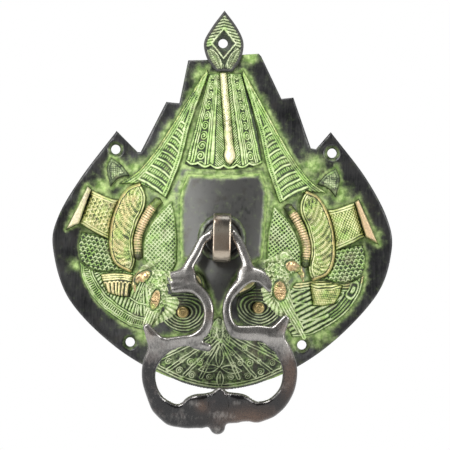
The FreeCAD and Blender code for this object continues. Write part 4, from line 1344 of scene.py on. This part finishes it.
def relief_material(name, stops, brassy=0.0, warm=BRASS, metallic=0.5, dark_border=False):
    """Verdigris over cast brass: dark in the cuts and pale on the ribs, from patina and wear and from
    painted shade and painted highlight; metal where it is rubbed.
    """
    n = Nodes(name)
    tone, brass = n.layer("tone"), n.layer("brass")
    patches, grain = n.noise(5.0), n.noise(0.8, 6.0, 0.7)
    # Tone with noise: patina and wear, with painted shade in the cuts and painted highlight on the
    # tops.
    wear_and_shade = n.vary(n.vary(tone, grain, 1.2), patches, 0.9, clamp=True)
    patina = n.ramp(wear_and_shade, stops)
    rub = n.math("ADD", brass, n.math("MULTIPLY_ADD", n.noise(2.2), 0.9, brassy - 0.45))
    rub = n.math("MULTIPLY", n.fade(rub, 0.1, 0.8), n.fade(wear_and_shade, 0.15, 0.6))
    warm = linear(*warm)
    dim_warm = tuple(0.7 * channel for channel in warm[:3]) + (1,)
    metal = n.mix(n.fade(grain, 0.3, 0.65), dim_warm, warm)
    colour = n.mix(rub, patina, metal)
    fresh = n.math("MULTIPLY", n.fade(n.noise(6.0, 5.0), 0.5, 0.66), n.fade(wear_and_shade, 0.1, 0.5))
    colour = n.mix(n.math("MULTIPLY", fresh, 0.5), colour, linear(150, 194, 88))
    stain = n.math("MULTIPLY", n.fade(n.noise(8.0, 5.0), 0.52, 0.72), 0.45)
    colour = n.mix(stain, colour, linear(110, 98, 80))
    if dark_border:
        inner = n.math("SUBTRACT", n.layer("green"), n.math("MULTIPLY", grain, 0.4))
        colour = n.mix(n.fade(inner, 0.0, 0.45), linear(56, 56, 53), colour)
    n.put(n.shader.inputs["Base Color"], colour)
    n.put(n.shader.inputs["Metallic"], n.math("MULTIPLY", rub, metallic))
    n.put(n.shader.inputs["Roughness"], n.math("MULTIPLY_ADD", rub, -0.22, 0.52))
    height = n.math("MULTIPLY_ADD", grain, 0.6, n.math("MULTIPLY", n.noise(0.35, 3.0), 0.4))
    n.bump(height, 0.12, 0.5)
    return n.material


def gunmetal_material(name, dark, light, warm, green=False, shine=0.34, rough=0.5, coat=0.0):
    """Dark oiled casting with soft scratches, warm stains and green near the relief; the tone layer
    adds painted sheen and highlights on the bail and hook, and painted shade in the plate's
    countersinks and at the foot of the shield.

    Shine is the surface's roughness, and rough is the strength of its fine bumps.
    """
    n = Nodes(name)
    dark, light, warm = linear(*dark), linear(*light), linear(*warm)
    patches, grain = n.noise(14.0, 5.0), n.noise(0.9, 5.0, 0.65)
    brushed = n.noise(1.1, 4.0, 0.6, (1.0, 1.0, 0.12))
    share = n.math("MULTIPLY_ADD", patches, 0.9, n.math("MULTIPLY", brushed, 0.5))
    # Tone moves the metal lighter with painted sheen and highlights, and darker with painted shade.
    share = n.vary(share, n.layer("tone"), 0.6)
    colour = n.mix(n.fade(share, 0.45, 0.95), dark, light)
    colour = n.mix(n.math("MULTIPLY", n.fade(n.noise(7.0), 0.52, 0.72), 0.5), colour, warm)
    rust = n.math("MULTIPLY", n.layer("rust"), n.fade(grain, 0.2, 0.6))
    colour = n.mix(n.math("MULTIPLY", rust, 0.5), colour, linear(*COPPER))
    metallic, dull = 0.9, n.math("MULTIPLY_ADD", grain, 0.2, shine - 0.1)
    if green:
        cover = n.vary(n.vary(n.layer("green"), n.noise(4.0), 1.0), grain, 0.4)
        cover = n.fade(cover, 0.0, 1.15)
        mottle = n.fade(n.noise(3.0), 0.35, 0.65)
        lime = n.mix(mottle, linear(116, 150, 68), linear(188, 212, 136))
        colour = n.mix(cover, colour, lime)
        # The dark layer is painted shade at the foot of the ornaments and in the screw holes, and a
        # darker back.
        colour = n.mix(n.layer("soot_and_shade"), colour, linear(34, 38, 28))
        metallic = n.math("MULTIPLY_ADD", cover, -0.85, 0.9)
        dull = n.math("MULTIPLY_ADD", cover, 0.3, dull)
    n.put(n.shader.inputs["Base Color"], colour)
    n.put(n.shader.inputs["Metallic"], metallic)
    n.put(n.shader.inputs["Roughness"], dull)
    n.put(n.shader.inputs["Coat Weight"], coat)
    n.put(n.shader.inputs["Coat Roughness"], 0.16)
    height = n.math("MULTIPLY_ADD", brushed, 0.5, n.math("MULTIPLY", grain, 0.5))
    n.bump(height, 0.06, rough)
    return n.material


def shades(*colours):
    """Colour ramp from the cuts to the tops, with the colours evenly spaced."""
    return [(i / (len(colours) - 1) * 0.9 + 0.05, linear(*c)) for i, c in enumerate(colours)]


GREEN = shades((34, 44, 24), (94, 128, 58), (144, 168, 102), (198, 208, 166))
PALE = shades((44, 58, 32), (116, 150, 74), (164, 190, 118), (208, 218, 172))
DARK = shades((36, 42, 30), (84, 100, 64), (146, 160, 116), (208, 216, 178))
OLIVE = shades((46, 54, 28), (116, 138, 64), (180, 192, 116), (232, 232, 184))
PLUMAGE = shades((30, 40, 22), (92, 118, 58), (160, 176, 122), (226, 230, 196))

MATERIALS = {
    "crest": relief_material("crest_verdigris", PALE),
    "relief": relief_material("relief_verdigris", GREEN),
    "snout": relief_material("snout_verdigris", DARK),
    "olive": relief_material("olive_brass", OLIVE, brassy=0.05),
    "finial": relief_material("finial_verdigris", DARK, dark_border=True),
    "brass": relief_material("rubbed_brass", OLIVE, 0.3, warm=(242, 224, 170), metallic=0.4),
    "pale": relief_material("polished_brass", OLIVE, 0.35, warm=(250, 236, 200), metallic=0.25),
    "copper": relief_material("rubbed_copper_brass", OLIVE, 0.25, warm=(236, 206, 164),
                              metallic=0.3),
    "parrot": relief_material("parrot_verdigris", PLUMAGE, 0.1, warm=(206, 178, 134),
                              metallic=0.85),
    "plate": gunmetal_material("plate_gunmetal", (42, 42, 44), (84, 84, 84), (62, 58, 54),
                               green=True, shine=0.4),
    "shield": gunmetal_material("shield_gunmetal", (50, 50, 51), (84, 84, 82), (66, 62, 56),
                                green=True, shine=0.46),
    "bail": gunmetal_material("bail_gunmetal", (34, 34, 35), (150, 147, 143), (66, 56, 54),
                              shine=0.28, rough=0.2, coat=0.6),
    "hook": gunmetal_material("hook_bronze", (84, 80, 74), (176, 166, 150), (128, 104, 84),
                              shine=0.3, rough=0.12, coat=0.3),
    "stud": gunmetal_material("stud_brass", (110, 96, 60), (216, 192, 136), (120, 96, 56),
                              shine=0.3, rough=0.2),
    "plain": gunmetal_material("fastener_brass", (136, 112, 64), (178, 150, 92), (120, 90, 52),
                               shine=0.3),
}


def place(piece, body, material, slot, *nodes):
    """Give a piece its material and body, and hide the CAD nodes that it stands for; slot is not used.
    """
    piece.data.materials.append(MATERIALS[material])
    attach(piece, body)
    if nodes:
        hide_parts(*nodes)


def put_relief(node, shape, thick, soft, cut, pattern, material, slot="verdigris_relief", **kwargs):
    piece = relief(node + "_cast", shape, thick, soft, cut, pattern, **kwargs)
    place(piece, "plate", material, slot, node)


def screw_lands():
    """Clear discs round the two lower screws."""
    return [Disc(centre, SINK_R + 0.4) for centre in PLATE_SCREWS[2:]]


def build_centre():
    finial, spine = outline("finial"), outline("spine")
    brows = [outline("brow", side) for side in EYES]
    sockets = [Disc(centre, EYE_SOCKET_R) for centre in EYES.values()]
    put_relief("crest_panel", outline("crest", 0, [finial, spine]), 1.6, 0.6, 0.75, crest_pattern,
               "crest", cell=0.25)
    put_relief("crest_spine", outline("spine", 0, [finial]), 4.0, 2.4, 0.6, spine_pattern,
               "pale", "rubbed_brass", cell=0.25)
    put_relief("face_shield", outline("shield", 0, brows), 2.4, 2.6, 0.0, plain, "shield",
               "shield_patina", cell=0.5, green=0.9)
    put_relief("hook_pad", Disc(PAD_CENTRE, PAD_R), 1.6, 1.6, 0.5, ringed, "shield",
               "shield_patina", base=2.4, cell=0.4, green=0.35)
    put_relief("snout_fan", outline("snout", 0, sockets + screw_lands() + [outline("shield")]),
               1.6, 0.6, 0.8, snout_pattern, "snout", cell=0.27)
    lens_piece = relief("brow_lens_left_cast", outline("brow_lens"), 2.6, 1.4, 0.5, brow_pattern,
                        base=2.0, cell=0.25)
    place(lens_piece, "plate", "brass", "rubbed_brass")


def build_side(side, name):
    leaf, ear, horn = outline("leaf", side), outline("ear", side), outline("horn", side)
    basket, drum, cap = outline("basket", side), outline("drum", side), outline("cap", side)
    crest, shield, brow = outline("crest"), outline("shield"), outline("brow", side)
    socket = Disc(EYES[side], EYE_SOCKET_R)

    def put(node, shape, *values, **kwargs):
        put_relief(node + "_" + name, shape, *values, side=side, **kwargs)

    put("crest_wing", outline("wing", side, [leaf, ear, crest]), 2.4, 0.9, 0.8, wing_pattern,
        "crest", cell=0.27)
    put("temple", outline("temple", side, [horn, shield, brow]), 2.4, 2.6, 0.6, temple_pattern,
        "relief", cell=0.27)
    put("horn", horn, 4.0, 2.3, 0.6, horn_pattern, "copper", "rubbed_brass", cell=0.27)
    put("ear_leaf", outline("ear", side, [horn]), 4.0, 3.0, 0.7, ear_pattern, "olive")
    put("drum", outline("drum", side, [ear]), 5.5, 4.5, 0.5, drum_pattern, "olive")
    put("drum_cap", cap, 7.0, 0.9, 0.0, polished, "copper" if side > 0 else "pale",
        "rubbed_brass", flat=True)
    put("small_leaf", leaf, 2.4, 1.2, 0.7, leaf_pattern, "snout")
    put("scale_collar", outline("collar", side, [ear, drum, cap]), 2.4, 1.6, 0.8, collar_pattern,
        "relief")
    put("lower_wing", outline("lower", side, [basket, socket, ear] + screw_lands()), 1.6, 0.8,
        0.75, lower_pattern, "relief")
    put("basket", outline("basket", side, [ear]), 4.0, 2.0, 0.6, basket_pattern,
        "brass" if side < 0 else "olive", "rubbed_brass")
    put("brow", brow, 4.0, 1.6, 0.8, brow_pattern, "brass", "shield_patina")
    put("eye_socket", Disc(EYES[side], EYE_SOCKET_R, [shield, brow]), 2.4, 1.0, 0.8,
        socket_pattern, "snout")
    place(make_eye(side, name), "plate", "stud", "rubbed_brass", "eye_stud_" + name)


def build_pieces():
    place(make_plate(), "plate", "plate", "plate_patina", "back_plate")
    place(make_finial(), "plate", "finial", "verdigris_relief", "finial")
    build_centre()
    for side, name in ((-1, "left"), (1, "right")):
        build_side(side, name)
    place(make_hook(), "plate", "hook", "hook_bronze", "hook")
    place(make_shank(), "plate", "plain", "plain_brass")
    place(make_bail(), "bail", "bail", "bail_patina", "bail")
    for name, bird in PARROTS.items():
        place(make_parrot(name, bird), "bail", "parrot", "verdigris_relief", name)
    for node in ("hook_washer", "hook_nut"):
        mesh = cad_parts[node].data
        mesh.materials.clear()
        mesh.materials.append(MATERIALS["plain"])


# Floor, light and camera.

def build_floor():
    half = FLOOR_HALF
    corners = [(-half, -half, FLOOR_Z), (half, -half, FLOOR_Z), (half, half, FLOOR_Z),
               (-half, half, FLOOR_Z)]
    mesh = bpy.data.meshes.new("floor")
    mesh.from_pydata(corners, [], [(0, 1, 2, 3)])
    floor = bpy.data.objects.new("floor", mesh)
    bpy.context.scene.collection.objects.link(floor)
    n = Nodes("floor_pale")
    n.put(n.shader.inputs["Base Color"], n.ramp(n.noise(60.0), [(0.3, grey(0.80)), (0.7, grey(0.84))]))
    n.put(n.shader.inputs["Roughness"], 0.85)
    mesh.materials.append(n.material)


def build_world():
    """White backdrop for the camera, but a room that is dim in front and bright behind for light."""
    world = bpy.data.worlds.new("studio")
    bpy.context.scene.world = world
    world.use_nodes = True
    nodes, links = world.node_tree.nodes, world.node_tree.links
    path = nodes.new("ShaderNodeLightPath")
    way = nodes.new("ShaderNodeSeparateXYZ")
    links.new(nodes.new("ShaderNodeTexCoord").outputs["Generated"], way.inputs[0])
    room = nodes.new("ShaderNodeMapRange")
    for name, value in (("From Min", -1.0), ("From Max", 1.0), ("To Min", FRONT_DIM),
                        ("To Max", BACK_BRIGHT)):
        room.inputs[name].default_value = value
    links.new(way.outputs["Y"], room.inputs["Value"])
    strength = nodes.new("ShaderNodeMapRange")
    strength.inputs["To Max"].default_value = 1.0
    links.new(path.outputs["Is Camera Ray"], strength.inputs["Value"])
    links.new(room.outputs["Result"], strength.inputs["To Min"])
    links.new(strength.outputs["Result"], nodes["Background"].inputs["Strength"])
    nodes["Background"].inputs["Color"].default_value = (1, 1, 1, 1)


def build_lights():
    for name, (position, size, power) in LIGHTS.items():
        light = bpy.data.lights.new(name, "AREA")
        light.shape, light.size, light.energy = "DISK", size, power
        lamp = bpy.data.objects.new(name, light)
        lamp.location = position
        aim = Vector(LIGHT_AIM) - Vector(position)
        lamp.rotation_euler = aim.to_track_quat("-Z", "Y").to_euler()
        bpy.context.scene.collection.objects.link(lamp)
    bpy.context.scene.view_settings.view_transform = "Standard"


def build_camera():
    data = bpy.data.cameras.new("camera")
    data.sensor_width = SENSOR_WIDTH_MM
    data.lens = data.sensor_width * CAMERA_FAR / VIEW_WIDTH
    camera = bpy.data.objects.new("camera", data)
    camera.location = (VIEW_CENTRE[0], -CAMERA_FAR, VIEW_CENTRE[1])
    camera.rotation_euler = (math.pi / 2, -math.radians(CAMERA_ROLL), 0.0)
    bpy.context.scene.collection.objects.link(camera)
    bpy.context.scene.camera = camera


build_pieces()
build_floor()
build_world()
build_lights()
build_camera()
